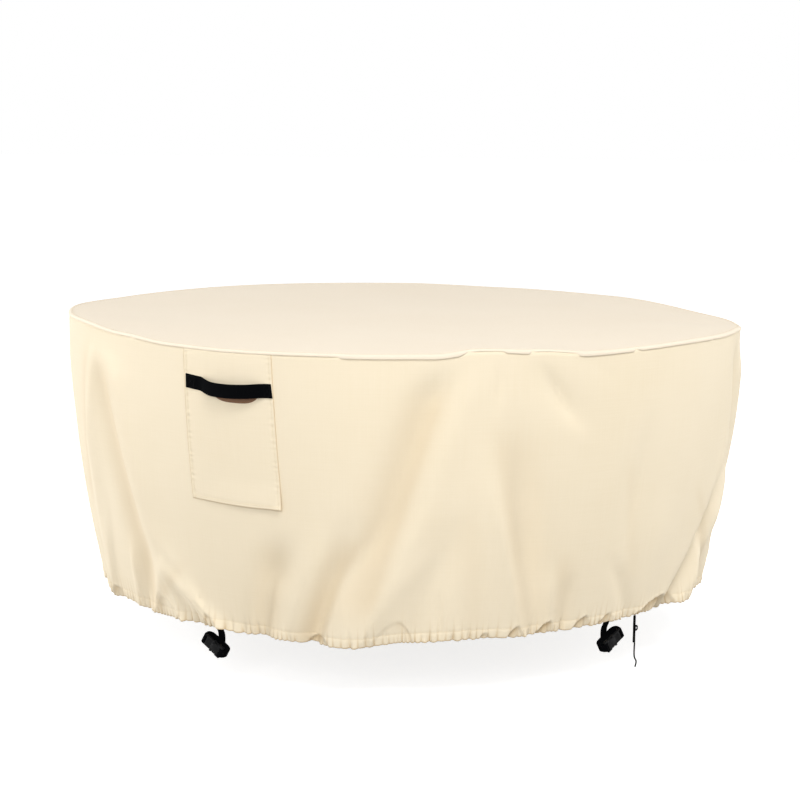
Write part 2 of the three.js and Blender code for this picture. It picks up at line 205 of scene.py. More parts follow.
# How far the hem lies below its level at each azimuth
HEM_LOWER = {
    -180: 0.004, -140: -0.005, -105: 0.006, -70: 0.009, -58: 0, -46: 0.004, -37: 0, -22: 0.012,
    -9: 0.021, 1: 0.004, 12: -0.005, 33: -0.009, 46: -0.012, 58: -0.005, 80: -0.004,
    115: 0.005, 150: -0.004,
}
# A fold runs straight from one azimuth at the rim to one at the hem and shows between two shares of the
# drop. It stands out by its depth, inwards where that is negative, and fades over its half width in degrees.
Fold = namedtuple("Fold", "rim hem start end depth width")
FOLDS = [
    Fold(-61, -64, 0.04, 1, 0.010, 3),
    Fold(-59.4, -45.8, 0.08, 0.97, -0.015, 2.8),
    Fold(-56, -42, 0.02, 1, 0.011, 3),
    Fold(-87, -33, 0.78, 1, 0.009, 2.6),
    Fold(-10, -23.5, 0.58, 1, -0.015, 2.6),
    Fold(-4, -18.5, 0.55, 1, 0.009, 3),
    Fold(7, -15.5, 0.56, 1, -0.016, 2.6),
    Fold(12, -11, 0.55, 1, 0.008, 2.6),
    Fold(7, -10, 0.02, 0.99, -0.027, 3.6),
    Fold(10, -4.5, 0.02, 0.99, 0.006, 2.8),
    Fold(27, -8, 0.6, 1, 0.007, 2.6),
    Fold(16, 2, 0.5, 1, -0.012, 3),
    Fold(9, 19.5, 0.28, 1, 0.012, 2.8),
    Fold(14.7, 22.8, 0.16, 0.98, -0.019, 2.7),
    Fold(19.3, 50, 0.02, 0.3, -0.010, 2.6),
    Fold(42.4, 37.6, 0.16, 0.86, -0.008, 2.8),
    Fold(49, 46, 0.5, 1, 0.008, 3.4),
    Fold(90, 55, 0.42, 1, -0.026, 3.4),
    Fold(97, 61.5, 0.45, 1, 0.015, 3),
    Fold(61, 69.5, 0.55, 1, -0.020, 2.8),
    Fold(72.4, 88, 0.02, 1, -0.014, 3),
    Fold(78, 95, 0.05, 1, 0.011, 3.2),
    Fold(104, 112, 0.15, 1, -0.020, 3.2),
    Fold(126, 119, 0.3, 1, 0.013, 3.2),
    Fold(131, 138, 0.05, 0.96, -0.024, 3.2),
    Fold(150, 145, 0.2, 1, 0.014, 3),
    Fold(158, 162, 0.4, 1, -0.018, 3),
    Fold(172, 176, 0.05, 1, 0.012, 3.2),
    Fold(-177, -172, 0.1, 0.95, -0.026, 3.4),
    Fold(-160, -163, 0.35, 1, 0.012, 3),
    Fold(-149, -155, 0.1, 1, -0.018, 3),
    Fold(-138, -141, 0.2, 1, 0.013, 3.2),
    Fold(-127, -120, 0.05, 0.95, -0.024, 3.4),
    Fold(-112, -110, 0.3, 1, 0.012, 3),
    Fold(-99, -103, 0.1, 1, -0.017, 3),
    Fold(-88, -85, 0.06, 1, -0.003, 4.2),
    Fold(-78, -76, 0.1, 1, -0.013, 2.8),
]
# The softer creases on the front's folds
CREASES = [
    Fold(-54.6, -62.9, 0.6, 1, 0.005, 0.8),
    Fold(-50.2, -53.7, 0.72, 1, 0.006, 0.8),
    Fold(-38.8, -50.9, 0.66, 1, -0.008, 1.9),
    Fold(-58, -40.3, 0.74, 1, 0.005, 0.7),
    Fold(-48, -34, 0.84, 1, -0.005, 0.8),
    Fold(-14, -24.6, 0.6, 1, -0.012, 2.0),
    Fold(-1, -15.2, 0.5, 1, -0.019, 1.8),
    Fold(-4, -10, 0.8, 1, 0.002, 1.2),
    Fold(12, -15.4, 0.48, 0.94, -0.006, 1.8),
    Fold(4.2, 6.4, 0.8, 1, -0.005, 0.5),
    Fold(13.9, 14.3, 0.01, 0.22, -0.004, 0.7),
    Fold(10.4, 22.6, 0.34, 1, -0.007, 1.5),
    Fold(27.6, 28.2, 0.76, 1, -0.008, 1.6),
    Fold(18.1, 43, 0.72, 1, -0.007, 1.7),
    Fold(19.3, 50.5, 0, 0.3, -0.005, 1.1),
    Fold(26.8, 92, 0, 0.12, -0.004, 0.9),
    Fold(42.4, 37.7, 0.2, 0.82, -0.003, 0.9),
    Fold(82.8, 55.8, 0.7, 1, -0.007, 1.0),
    Fold(61.2, 69.2, 0.6, 1, -0.006, 1.0),
    Fold(72.4, 87.3, 0, 0.52, -0.005, 1.1),
]
# Where a fold of the front is bent to a crisp edge, with a flat slope on each side
EDGES = [
    Fold(-58.2, -69.2, 0.02, 0.7, 0.007, 1.4),
    Fold(-61.9, -62.6, 0.16, 1, 0.009, 1.7),
    Fold(-53.4, -41.4, 0.05, 0.84, 0.011, 2.8),
    Fold(-72.5, -32.2, 0.60, 1, 0.008, 2.4),
    Fold(-50.9, -52.7, 0.72, 1, 0.008, 1.2),
    Fold(-21.3, -48.8, 0.74, 1, 0.009, 1.3),
    Fold(-80.8, -40.7, 0.84, 1, 0.007, 1.0),
    Fold(-78.8, -33.9, 0.75, 1, 0.008, 1.2),
    Fold(-76.4, -32.6, 0.84, 1, 0.006, 0.9),
    Fold(-11, -22.8, 0.72, 1, 0.012, 1.6),
    Fold(2.6, -13.5, 0.56, 1, 0.012, 1.7),
    Fold(7.4, -6.2, 0.02, 0.66, 0.010, 2.2),
    Fold(15.6, -11.7, 0.5, 0.84, 0.004, 1.6),
    Fold(15.8, -7.1, 0.42, 1, 0.006, 1.6),
    Fold(7.3, 20.1, 0.34, 1, 0.007, 1.2),
    Fold(24, 25, 0.74, 1, 0.008, 1.2),
    Fold(89, 51, 0.34, 1, 0.012, 2.2),
    Fold(65.6, 64, 0.5, 1, 0.008, 1.2),
]
EDGE_ROUND = 0.18
# Beside a fold the cloth lies in a hollow, where less light comes and all of it from other cloth, so that it
# looks darker and warmer. A hollow is dark by its depth, and fades over its width in degrees to each side.
Hollow = namedtuple("Hollow", "rim hem start end depth left right")
HOLLOWS = [
    Hollow(-61.4, -72.4, 0.02, 0.72, 0.18, 2.6, 1.3),
    Hollow(-56.9, -47.6, 0.05, 1, 0.20, 4.0, 2.2),
    Hollow(-4.8, -48, 0.74, 1, 0.16, 1.6, 1.2),
    Hollow(-13.3, -23.3, 0.60, 1, 0.16, 4.2, 2.0),
    Hollow(7, -15.9, 0.56, 1, 0.26, 3.2, 1.4),
    Hollow(7.3, -7.6, 0.06, 0.96, 0.22, 5.0, 1.4),
    Hollow(7.3, 12.5, 0.5, 1, 0.07, 2.4, 1.6),
    Hollow(11.8, 20.8, 0.22, 1, 0.12, 1.5, 6.0),
    Hollow(22.6, 27.7, 0.66, 1, 0.15, 1.8, 2.4),
    Hollow(34, 43.6, 0.34, 0.9, 0.07, 1.2, 1.4),
    Hollow(36.5, 75.1, 0.5, 1, 0.12, 1.4, 1.8),
]
# Soft small creases round the sides and the back, and gathers that run up from the hem there
rng = np.random.default_rng(11)
for azimuth in np.arange(72, 290, 5.3):
    leaning = azimuth + rng.uniform(-9, 9)
    start = rng.uniform(0.02, 0.5)
    depth = rng.uniform(0.002, 0.0055) * rng.choice((-1, 1))
    CREASES.append(Fold(azimuth, leaning, start, start + rng.uniform(0.3, 0.6), depth, rng.uniform(0.9, 1.6)))
for azimuth in np.arange(66, 297, 3.1):
    hem = azimuth + rng.uniform(-1, 1)
    depth = rng.uniform(0.002, 0.006) * rng.choice((-1, 1))
    rim = hem + rng.uniform(-14, 14)
    start = rng.uniform(0.68, 0.88)
    CREASES.append(Fold(rim, hem, start, 1, depth, rng.uniform(0.5, 1.1)))

# A pocket is cloth pushed in at the hem between two gathers. Its upper edge rises from its left azimuth to
# its peak and falls to its right one. Its height is above the hem, its depth goes inwards, and its shade is
# how dark the painted shade under its edge is. It is crisp on one side, left -1 or right 1, and blunt on the
# other.
Pocket = namedtuple("Pocket", "left peak right height depth shade crisp")
POCKETS = [
    Pocket(-63.2, -61.9, -59.4, 0.034, 0.009, 0.5, -1),
    Pocket(-47.9, -45.1, -40.6, 0.060, 0.003, 0.1, -1),
    Pocket(-35.4, -34.6, -32.4, 0.040, 0.004, 0.6, -1),
    Pocket(-16.4, -13.6, -12.1, 0.026, 0.007, 0.7, -1),
    Pocket(-5.5, -0.9, 1.9, 0.066, 0.003, 0.2, 1),
    Pocket(13.1, 14.0, 15.1, 0.018, 0.007, 0.6, -1),
    Pocket(17.7, 19.3, 20.5, 0.034, 0.009, 0.8, -1),
    Pocket(23.0, 25.6, 26.3, 0.036, 0.010, 0.9, -1),
    Pocket(30.2, 33.0, 34.1, 0.034, 0.008, 0.7, -1),
    Pocket(35.5, 38.3, 39.7, 0.028, 0.004, 0.8, -1),
    Pocket(44.0, 52.6, 53.9, 0.046, 0.016, 1, -1),
    Pocket(55.0, 56.2, 59.0, 0.052, 0.012, 1, -1),
    Pocket(67.4, 68.8, 71.0, 0.060, 0.012, 0.6, -1),
]
# Over which height a pocket sinks in under its edge where it is crisp, and where it is blunt
POCKET_EDGE = 0.0042
POCKET_SOFT_EDGE = 0.014
POCKET_TURN = 1.2
# The lip above a pocket's crisp edge: its part of the depth, how far above the edge it stands, half its
# height, and the height of a pocket that has all of it
POCKET_LIP = 0.12
POCKET_LIP_RISE = 0.002
POCKET_LIP_HALF = 0.004
POCKET_LIPPED = 0.01
POCKET_CURVE = 0.9
# How much less painted shade a pocket has on its blunt side, and how far down its painted shade reaches
BLUNT_LIGHTER = 0.8
POCKET_SHADE_REACH = 0.028
azimuth = 76
while azimuth < 292:
    width = rng.uniform(1.6, 4.6)
    peak = azimuth + width * rng.uniform(0.3, 0.8)
    height = 0.011 * width + 0.005
    crisp = rng.choice((-1, 1))
    POCKETS.append(Pocket(azimuth, peak, azimuth + width, height, rng.uniform(0.004, 0.011), 0.6, crisp))
    azimuth += width + rng.uniform(1.5, 9)
# The puckers of the gathered casing, each with its own size and reach up the cloth, and their painted shade
PUCKERS = 300
PUCKER_OUT = 0.0058
PUCKER_DOWN = 0.0038
PUCKER_SIZES = rng.uniform(0.15, 1, PUCKERS)
PUCKER_REACHES = rng.uniform(0.010, 0.042, PUCKERS)
PUCKER_SHADE = 0.8
# The powers that shape a pucker: how full it is, how it fades upwards, and how narrow its painted shade is
PUCKER_FULL = 0.8
PUCKER_FADE = 1.5
PUCKER_DARK = 3
# The waves that make the puckers uneven: how many there are round the cover, and their shift in puckers
PUCKER_WAVES = ((7, 0.9), (17, 0.6), (31, 0.45), (53, 0.2))
CASING_BULGE = 0.0006
STITCH_GROOVE = 0.0009
STITCH_GROOVE_WIDTH = 0.002
# Painted shade along the hem's lower edge, where the cloth turns under: how dark it is, and its height
HEM_EDGE_SHADE = 0.7
HEM_EDGE_WIDTH = 0.0025
# How far the longer puckers of the front reach up
LONG_PUCKERS = {
    -66: 0.03, -56: 0.03, -52.2: 0.04, -37.5: 0.03, -30: 0.034, -27.6: 0.026, -25.5: 0.028, -19: 0.022,
    -8.7: 0.032, -5.7: 0.04, -2.7: 0.04, 4.5: 0.022, 8.5: 0.02, 11.3: 0.024, 21.8: 0.02, 28.2: 0.03,
    41.8: 0.03, 61.5: 0.024, 64.2: 0.03,
}
LONG_PUCKER_DEPTH = 0.0065
LONG_PUCKER_WIDTH = 0.38
# How much closer the points round the cover stand at the front
FRONT_CLOSER = 0.28


def smooth(value):
    """Rises from 0 to 1 with no corner at either end."""
    held = np.clip(value, 0, 1)
    return held * held * (3 - 2 * held)


def mix(first, second, part):
    """A value between two, by a part from 0 to 1."""
    return first + (second - first) * part


def turn_between(start, end):
    """The signed way from one azimuth to another, the short way round."""
    return (np.asarray(end) - start + 180) % 360 - 180


def level_at(table, azimuth):
    """A table's value at an azimuth, blended smoothly between its rows and closed round the cover."""
    places = np.array(list(table), float)
    values = np.array(list(table.values()), float)
    held = turn_between(0, azimuth)
    before = np.searchsorted(places, held, side="right") - 1
    after = (before + 1) % len(places)
    span = (places[after] - places[before]) % 360
    return mix(values[before], values[after], smooth((held - places[before]) / span))


def soft_profile(away):
    """A round bump, 1 high in its middle."""
    return np.exp(-away * away)


def crisp_profile(away):
    """A bump with a crisp edge in its middle and a flat slope on each side."""
    return np.exp(EDGE_ROUND - np.sqrt(away * away + EDGE_ROUND**2))


def along_fold(fold, azimuth, share, rise, fall):
    """How far azimuths lie from the middle line of a fold or hollow, and how much of it there is at a share.
    It fades in over one share of the drop and out over another, but it doesn't fade out at the hem."""
    middle = fold.rim + turn_between(fold.rim, fold.hem) * share
    there = smooth((share - fold.start) / rise)
    if fold.end < 1:
        there = there * smooth((fold.end - share) / fall)
    return turn_between(middle, azimuth), there


def folded(folds, azimuth, share, profile=soft_profile):
    """How far a table of folds with the same profile across them moves the skirt out or in."""
    total = np.zeros(np.broadcast(azimuth, share).shape)
    for fold in folds:
        slow = min(SLOW_FADE, 0.5 * (fold.end - fold.start))
        rise = FOLD_FADE if fold.start < NEAR_RIM else slow
        away, there = along_fold(fold, azimuth, share, rise, slow)
        total += fold.depth * profile(away / fold.width) * there
    return total


def hollow_shade(azimuth, share):
    """How much darker the cloth looks in the hollows beside the folds."""
    total = np.zeros(np.broadcast(azimuth, share).shape)
    for hollow in HOLLOWS:
        away, there = along_fold(hollow, azimuth, share, FOLD_FADE, FOLD_FADE)
        width = np.where(away < 0, hollow.left, hollow.right)
        total = np.maximum(total, hollow.depth * soft_profile(away / width) * there)
    return total


def skirt_radius(azimuth, share):
    """The skirt's outer face: drawn in more and more towards the hem, with its folds on it."""
    drawn_in = RIM_RADIUS - DRAW_IN * share * share
    soft = folded(FOLDS + CREASES, azimuth, share)
    return drawn_in + soft + folded(EDGES, azimuth, share, crisp_profile)


def skirt_height(azimuth, share):
    """The height on the skirt, between its uneven rim and its uneven hem."""
    rim = level_at(RIM_RISE, azimuth) - SEAM_GAP
    return mix(rim, -DROP - level_at(HEM_LOWER, azimuth), share)


def around_axis(azimuth, radius, height):
    """Points at azimuths round the cover's axis."""
    turn = np.radians(azimuth)
    shape = np.broadcast(turn, radius, height).shape
    parts = (radius * np.sin(turn), -radius * np.cos(turn), height)
    return np.stack([np.broadcast_to(part, shape) for part in parts], axis=-1)


def on_skirt(azimuth, share, outward=0.0):
    """Points on the skirt's outer face, moved outwards by the given distance."""
    azimuth, share = np.asarray(azimuth, float), np.asarray(share, float)
    return around_axis(azimuth, skirt_radius(azimuth, share) + outward, skirt_height(azimuth, share))


def pucker_form(azimuth, above):
    """How far the casing and its puckers move the cloth out and down, and their painted shade: darker between
    the puckers and along the hem's lower edge.
    """
    phase = PUCKERS * (azimuth + 180) / 360
    for waves, shift in PUCKER_WAVES:
        phase = phase + shift * np.sin(waves * np.radians(azimuth))
    index = np.floor(phase).astype(int) % PUCKERS
    wave = np.abs(np.sin(math.pi * phase))
    fading = np.exp(-((above / PUCKER_REACHES[index]) ** PUCKER_FADE))
    bump = wave**PUCKER_FULL * PUCKER_SIZES[index] * fading
    casing = CASING_BULGE * math.sin(math.pi * min(above / CASING, 1))
    groove = STITCH_GROOVE * soft_profile((above - CASING) / STITCH_GROOVE_WIDTH)
    outward = PUCKER_OUT * bump + casing - groove
    for middle, height in LONG_PUCKERS.items():
        across = soft_profile(turn_between(middle, azimuth) / LONG_PUCKER_WIDTH)
        outward = outward - LONG_PUCKER_DEPTH * across * soft_profile(above / height)
    # Painted shade: darker in the dips between puckers and along the hem's lower edge
    under = HEM_EDGE_SHADE * soft_profile(above / HEM_EDGE_WIDTH)
    painted_shade = np.maximum((1 - wave) ** PUCKER_DARK * fading, under)
    return outward, PUCKER_DOWN * bump, PUCKER_SHADE * painted_shade


def pocket_form(pocket, azimuth, above):
    """How far a pocket moves the cloth out, and its painted shade under the pocket's edge."""
    away = turn_between(pocket.peak, azimuth)
    rising = 1 + away / (pocket.peak - pocket.left)
    falling = 1 - away / (pocket.right - pocket.peak)
    edge = pocket.height * np.sin(0.5 * math.pi * np.clip(np.minimum(rising, falling), 0, 1)) ** POCKET_CURVE
    blunt = smooth(0.5 - pocket.crisp * away / POCKET_TURN)
    inside = smooth((edge - above) / mix(POCKET_EDGE, POCKET_SOFT_EDGE, blunt))
    lip = POCKET_LIP * soft_profile((above - edge - POCKET_LIP_RISE) / POCKET_LIP_HALF)
    lip = lip * smooth(edge / POCKET_LIPPED) * (1 - blunt)
    shade = pocket.shade * inside * np.exp(-np.maximum(edge - above, 0) / POCKET_SHADE_REACH)
    return pocket.depth * (lip - inside), shade * (1 - BLUNT_LIGHTER * blunt)


def hem_form(azimuth, above):
    """How far the puckers and the pockets together move the cloth out and down, at a height above the hem,
    and their painted shade there."""
    outward, down, painted_shade = pucker_form(azimuth, above)
    for pocket in POCKETS:
        pocket_out, shade = pocket_form(pocket, azimuth, above)
        outward = outward + pocket_out
        painted_shade = np.maximum(painted_shade, shade)
    return outward, down, painted_shade


def ring_azimuths(count):
    """Azimuths round the cover, closer together at the front than at the back."""
    even = np.arange(count) * 360 / count - 180
    return even - np.degrees(FRONT_CLOSER * np.sin(np.radians(even)))


def ring_faces(rings, closed):
    """Faces between neighbouring rings of points. Where one ring has several times the other's points,
    each point of the sparse ring carries a fan. A ring of one point is a pole."""
    starts = np.cumsum([0] + [len(ring) for ring in rings])
    faces = []
    pairs = list(zip(range(len(rings)), range(1, len(rings))))
    if closed:
        pairs.append((len(rings) - 1, 0))
    for a, b in pairs:
        turned = len(rings[a]) > len(rings[b])
        sparse, dense = (b, a) if turned else (a, b)
        few, many = len(rings[sparse]), len(rings[dense])
        step = many // few
        here = np.arange(few)
        near = starts[sparse] + here
        further = starts[sparse] + (here + 1) % few
        if step == 1:
            ahead = starts[dense] + (here + 1) % many
            made = np.stack([near, starts[dense] + here, ahead, further], axis=1).tolist()
        else:
            made = []
            for k in range(step):
                first = starts[dense] + (step * here + k - step // 2) % many
                second = starts[dense] + (step * here + k + 1 - step // 2) % many
                made += np.stack([near, first, second], axis=1).tolist()
            if few > 1:
                made += np.stack([near, second, further], axis=1).tolist()
        faces += [face[::-1] for face in made] if turned else made
    return faces


def new_piece(name, points, faces, look, threads=None, period=None, marks=None):
    """A mesh object with its faces pointing outwards. threads is a point's place on the cloth in metres,
    as the weave runs, and period is the length after which it closes round the cover. marks holds more
    values of each point by their names, for its material."""
    points = np.asarray(points, float)
    fans = [(face[0], face[k], face[k + 1]) for face in faces for k in range(1, len(face) - 1)]
    corner = points[np.array(fans)]
    if np.einsum("ij,ij->", corner[:, 0], np.cross(corner[:, 1], corner[:, 2])) < 0:
        faces = [face[::-1] for face in faces]
    mesh = bpy.data.meshes.new(name)
    mesh.from_pydata(points.tolist(), [], faces)
    mesh.polygons.foreach_set("use_smooth", [True] * len(mesh.polygons))
    mesh.materials.append(look)
    if threads is not None:
        corners = np.zeros(len(mesh.loops), int)
        mesh.loops.foreach_get("vertex_index", corners)
        places = np.asarray(threads, float)[corners]
        if period:
            sizes = np.array([len(face) for face in faces])
            starts = np.cumsum(sizes) - sizes
            first = np.repeat(places[starts, 0], sizes)
            places[:, 0] -= period * np.round((places[:, 0] - first) / period)
        mesh.uv_layers.new(name="threads").data.foreach_set("uv", places.ravel())
    for mark, values in (marks or {}).items():
        mesh.attributes.new(mark, "FLOAT", "POINT").data.foreach_set("value", values)
    return add_object(name, mesh)


def new_group(name, kind, inputs, outputs):
    """An empty node group whose sockets have these names and types, and the values that are handed to it."""
    tree = bpy.data.node_groups.new(name, kind)
    for way, sockets in (("INPUT", inputs), ("OUTPUT", outputs)):
        for label, socket in sockets.items():
            tree.interface.new_socket(label, in_out=way, socket_type="NodeSocket" + socket)
    return tree, add_node(tree, "NodeGroupInput").outputs


def maths(tree, operation, *values):
    """What a maths node makes of its values."""
    return add_node(tree, "ShaderNodeMath", dict(enumerate(values)), operation=operation).outputs[0]


def vector_maths(tree, operation, vector, inputs=None):
    """What a vector maths node makes of a vector and of its other inputs."""
    given = {0: vector, **(inputs or {})}
    return add_node(tree, "ShaderNodeVectorMath", given, operation=operation).outputs[0]


def noise(tree, place, scale, detail):
    """Soft random patches, more of them in a metre the larger the scale."""
    inputs = {"Vector": place, "Scale": scale, "Detail": detail}
    return add_node(tree, "ShaderNodeTexNoise", inputs).outputs["Fac"]


def blend(tree, part, first, second):
    """A colour between two, by a part from 0 to 1."""
    return add_node(tree, "ShaderNodeMix", {0: part, 6: first, 7: second}, data_type="RGBA").outputs[2]


def relief(tree, height, strength, distance):
    """The normal that a height gives to a surface."""
    inputs = {"Height": height, "Strength": strength, "Distance": distance}
    return add_node(tree, "ShaderNodeBump", inputs).outputs["Normal"]


def plain_weave():
    """The cloth's weave as a shader group: the height of its threads, and the faint streaks of thicker
    threads along both ways of the cloth. Pitch is the distance between two threads."""
    outputs = {"Height": "Float", "Streaks": "Float"}
    tree, given = new_group("plain_weave", "ShaderNodeTree", {"Place": "Vector", "Pitch": "Float"}, outputs)
    count = maths(tree, "DIVIDE", math.pi, given["Pitch"])
    waves = vector_maths(tree, "SINE", vector_maths(tree, "SCALE", given["Place"], {"Scale": count}))
    split = add_node(tree, "ShaderNodeSeparateXYZ", {0: waves}).outputs
    height = maths(tree, "ABSOLUTE", maths(tree, "MULTIPLY", split["X"], split["Y"]))
    streaks = []
    for stretch in ((STREAK_ALONG, STREAK_ACROSS, 1), (STREAK_ACROSS, STREAK_ALONG, 1)):
        drawn = vector_maths(tree, "MULTIPLY", given["Place"], {1: stretch})
        streaks.append(noise(tree, drawn, 1.0, 2.0))
    half = maths(tree, "MULTIPLY", maths(tree, "ADD", *streaks), 0.5)
    add_node(tree, "NodeGroupOutput", {"Height": height, "Streaks": half})
    return tree


def cloth_place(tree):
    """The place on the cloth as its threads run, in metres."""
    return add_node(tree, "ShaderNodeUVMap", uv_map="threads").outputs["UV"]


def woven(tree, place, pitch):
    """The weave's values at a place on the cloth."""
    return add_node(tree, "ShaderNodeGroup", {"Place": place, "Pitch": pitch}, node_tree=WEAVE).outputs


STREAK_ALONG = 6
STREAK_ACROSS = 260
WEAVE = plain_weave()
CREAM = (0.86, 0.755, 0.575, 1)
CREAM_SHADED = (0.835, 0.725, 0.535, 1)
# The warm dark colour that the painted shade blends the cloth towards
CREAM_PAINTED_SHADE = (0.56, 0.38, 0.17, 1)
WEAVE_PITCH = 0.0011


def cream_cloth(name, light, shaded):
    """Matt coated polyester: a plain weave, with streaks and soft uneven patches in its colour. Where its
    painted shade mark is set it is painted darker and warmer, as shade falls in hollows, puckers and pockets."""
    made, tree, shader = new_material(name)
    place = cloth_place(tree)
    weave = woven(tree, place, WEAVE_PITCH)
    uneven = maths(tree, "MULTIPLY", weave["Streaks"], noise(tree, place, 2.2, 3.0))
    colour = blend(tree, ranged(tree, uneven, 0.12, 0.42), light, shaded)
    painted_shade = add_node(tree, "ShaderNodeAttribute", attribute_name="painted_shade").outputs["Fac"]
    set_inputs(shader, {
        "Base Color": blend(tree, painted_shade, colour, CREAM_PAINTED_SHADE),
        "Roughness": ranged(tree, weave["Height"], 0.0, 1.0, 0.92, 0.78),
        "Normal": relief(tree, weave["Height"], 0.35, 0.0003),
        "Specular IOR Level": 0.25,
        "Sheen Weight": 0.08,
    })
    return made


CREAM_CLOTH = cream_cloth("cream_cloth", CREAM, CREAM_SHADED)
BODY_COLUMNS = 600
HEM_COLUMNS = 3 * BODY_COLUMNS
INNER_COLUMNS = BODY_COLUMNS // 2
BODY_ROWS = 52
HEM_ROWS = 17
INNER_ROWS = 26
INNER_HEM_ROWS = 8
# The rows are closer over this height above the hem, and closest at its lower edge
FINE_BAND = 0.075
HEM_CLOSER = 1.25
HEM_TURN = 0.0015


def skirt_rings():
    """Rings from the rim down the outer face, round the hem and up the inner face, each with its place
    on the cloth and its painted shade. The rows get closer towards the hem."""
    band = 1 - FINE_BAND / DROP
    closer = 1 - (FINE_BAND / DROP) * (1 - np.linspace(0, 1, HEM_ROWS + 1)) ** HEM_CLOSER
    closer = np.union1d(closer, [1 - CASING / DROP])
    inner_closer = 1 - (FINE_BAND / DROP) * np.linspace(0, 1, INNER_HEM_ROWS + 1) ** HEM_CLOSER
    outer = [(BODY_COLUMNS, share, 0.0) for share in np.linspace(0, band, BODY_ROWS)]
    outer += [(HEM_COLUMNS, share, 0.0) for share in closer[1:]]
    turned = [(HEM_COLUMNS, 1 + HEM_TURN / DROP, HEM_THICKNESS / 2)]
    inner = [(HEM_COLUMNS, share, HEM_THICKNESS) for share in inner_closer[:-1]]
    inner += [(INNER_COLUMNS, share, CLOTH) for share in np.linspace(band, 0, INNER_ROWS)]
    rings, threads, painted_shades = [], [], []
    for count, share, inset in outer + turned + inner:
        azimuth = ring_azimuths(count)
        above = max((1 - share) * DROP, 0)
        outward, down, painted_shade = hem_form(azimuth, above)
        ring = on_skirt(azimuth, np.full(count, share), outward - inset)
        ring[:, 2] -= down
        rings.append(ring)
        threads.append(np.stack([np.radians(azimuth) * RIM_RADIUS, ring[:, 2]], axis=1))
        painted_shades.append(np.maximum(painted_shade, hollow_shade(azimuth, share)))
    return rings, threads, painted_shades


rings, threads, painted_shades = skirt_rings()
skirt = new_piece(
    "gathered_skirt",
    np.concatenate(rings),
    ring_faces(rings, closed=True),
    CREAM_CLOTH,
    threads=np.concatenate(threads),
    period=2 * math.pi * RIM_RADIUS,
    marks={"painted_shade": np.concatenate(painted_shades)},
)
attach(skirt, "root")
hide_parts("skirt")

# The top
# One round panel of the same cloth, which lies flat and is a little uneven near its rim. Its edge turns
# over the seam as a small lip, which the seam pinches here and there.
FLAT_INSET = 0.420
# How far the lip reaches past the rim where it hangs by its usual drop, and by which part of any further
# drop it reaches out more
LIP_REACH = 0.0026
LIP_USUAL_DROP = 0.006
LIP_SPREAD = 0.4
LIP_ROUND = 0.004
LIP_SETBACK = 0.003
LIP_SWELL = 0.001
LIP_FOOT = (-0.0006, 0.0002)
# How far the lip hangs past the top's underside at each azimuth
LIP_DROP = {
    -180: 0.007, -120: 0.006, -60: 0.005, -30: 0.006, -10: 0.006, -9.2: 0.010, 7.6: 0.011, 9.4: 0.004,
    14.3: 0.003, 15.2: 0.008, 18.4: 0.009, 19.1: 0.003, 26: 0.003, 27: 0.011, 36.6: 0.009, 37.6: 0.004,
    38.6: 0.008, 60: 0.008, 90: 0.006, 120: 0.008, 150: 0.006,
}
# Where the seam pinches the lip inwards
PINCHES = [-158, -121, -92, -66, -47, -9.6, 9.3, 18.8, 26.6, 37.3, 58, 84, 107, 133, 166]
PINCH_DEPTH = 0.0020
PINCH_WIDTH = 0.55
# How high the ripple of the flat part is, and how far from the rim it is whole
RIPPLE = 0.0012
RIPPLE_FROM = 0.05
# Pairs of waves, multiplied: a pair's share of the ripple, and each wave's pace along X and Y and its start
RIPPLE_WAVES = ((1, (5.1, 1.7, 0.6), (-1.3, 4.3, 2.1)), (0.5, (11.7, -6.1, 1.1), (3.7, 9.2, 0.4)))
# The seam raises the top a little along a line at its edge
SEAM_RISE = 0.0015
SEAM_INSET = 0.006
SEAM_WIDTH = 0.004
# The upper face in zones: points round the cover, and from which to which radius
TOP_ZONES = ((75, 0.015, 0.15), (150, 0.163, 0.33), (300, 0.344, 0.66), (600, 0.674, 0.99))
TOP_STEP = 0.0135
EDGE_INSETS = (0.065, 0.052, 0.040, 0.030, 0.021, 0.014, 0.009, 0.005)
# The lip in section: first its round edge by degrees, then by shares of its drop, how far it is drawn back
LIP_TURNS = (60, 35, 10)
LIP_BACKS = ((0.35, 0), (0.7, 0.0002), (0.93, 0.0006), (1, 0.0012), (0.93, 0.0018), (0.6, 0.0020))
UNDER_INSETS = (0.06, 0.2, 0.36, 0.55, 0.75, 0.95)


def lip_reach(azimuth, drop):
    """How far the lip stands out past the rim: more where it hangs further, and little at a pinch."""
    away = turn_between(np.array(PINCHES)[:, None], azimuth[None, :]) / PINCH_WIDTH
    return LIP_REACH + LIP_SPREAD * (drop - LIP_USUAL_DROP) - PINCH_DEPTH * soft_profile(away).max(axis=0)


def top_ripple(x, y):
    """The soft unevenness of cloth that lies on a flat surface."""
    total = 0
    for part, *waves in RIPPLE_WAVES:
        first, second = (np.sin(pace_x * x + pace_y * y + start) for pace_x, pace_y, start in waves)
        total = total + part * first * second
    return RIPPLE * total


def top_point(azimuth, inset, height):
    """Points on the top at an inset from its rim, where the rim's own rise is blended in."""
    radius = RIM_RADIUS - inset
    place = around_axis(azimuth, radius, 0.0)
    blend = smooth((FLAT_INSET - inset) / FLAT_INSET)
    settled = smooth(inset / RIPPLE_FROM) * top_ripple(place[:, 0], place[:, 1])
    place[:, 2] = height + level_at(RIM_RISE, azimuth) * blend + settled
    return place


def top_level(inset):
    """The height of the top's upper face over its level: raised a little along its edge by the seam."""
    return CLOTH + SEAM_RISE * soft_profile((inset - SEAM_INSET) / SEAM_WIDTH)


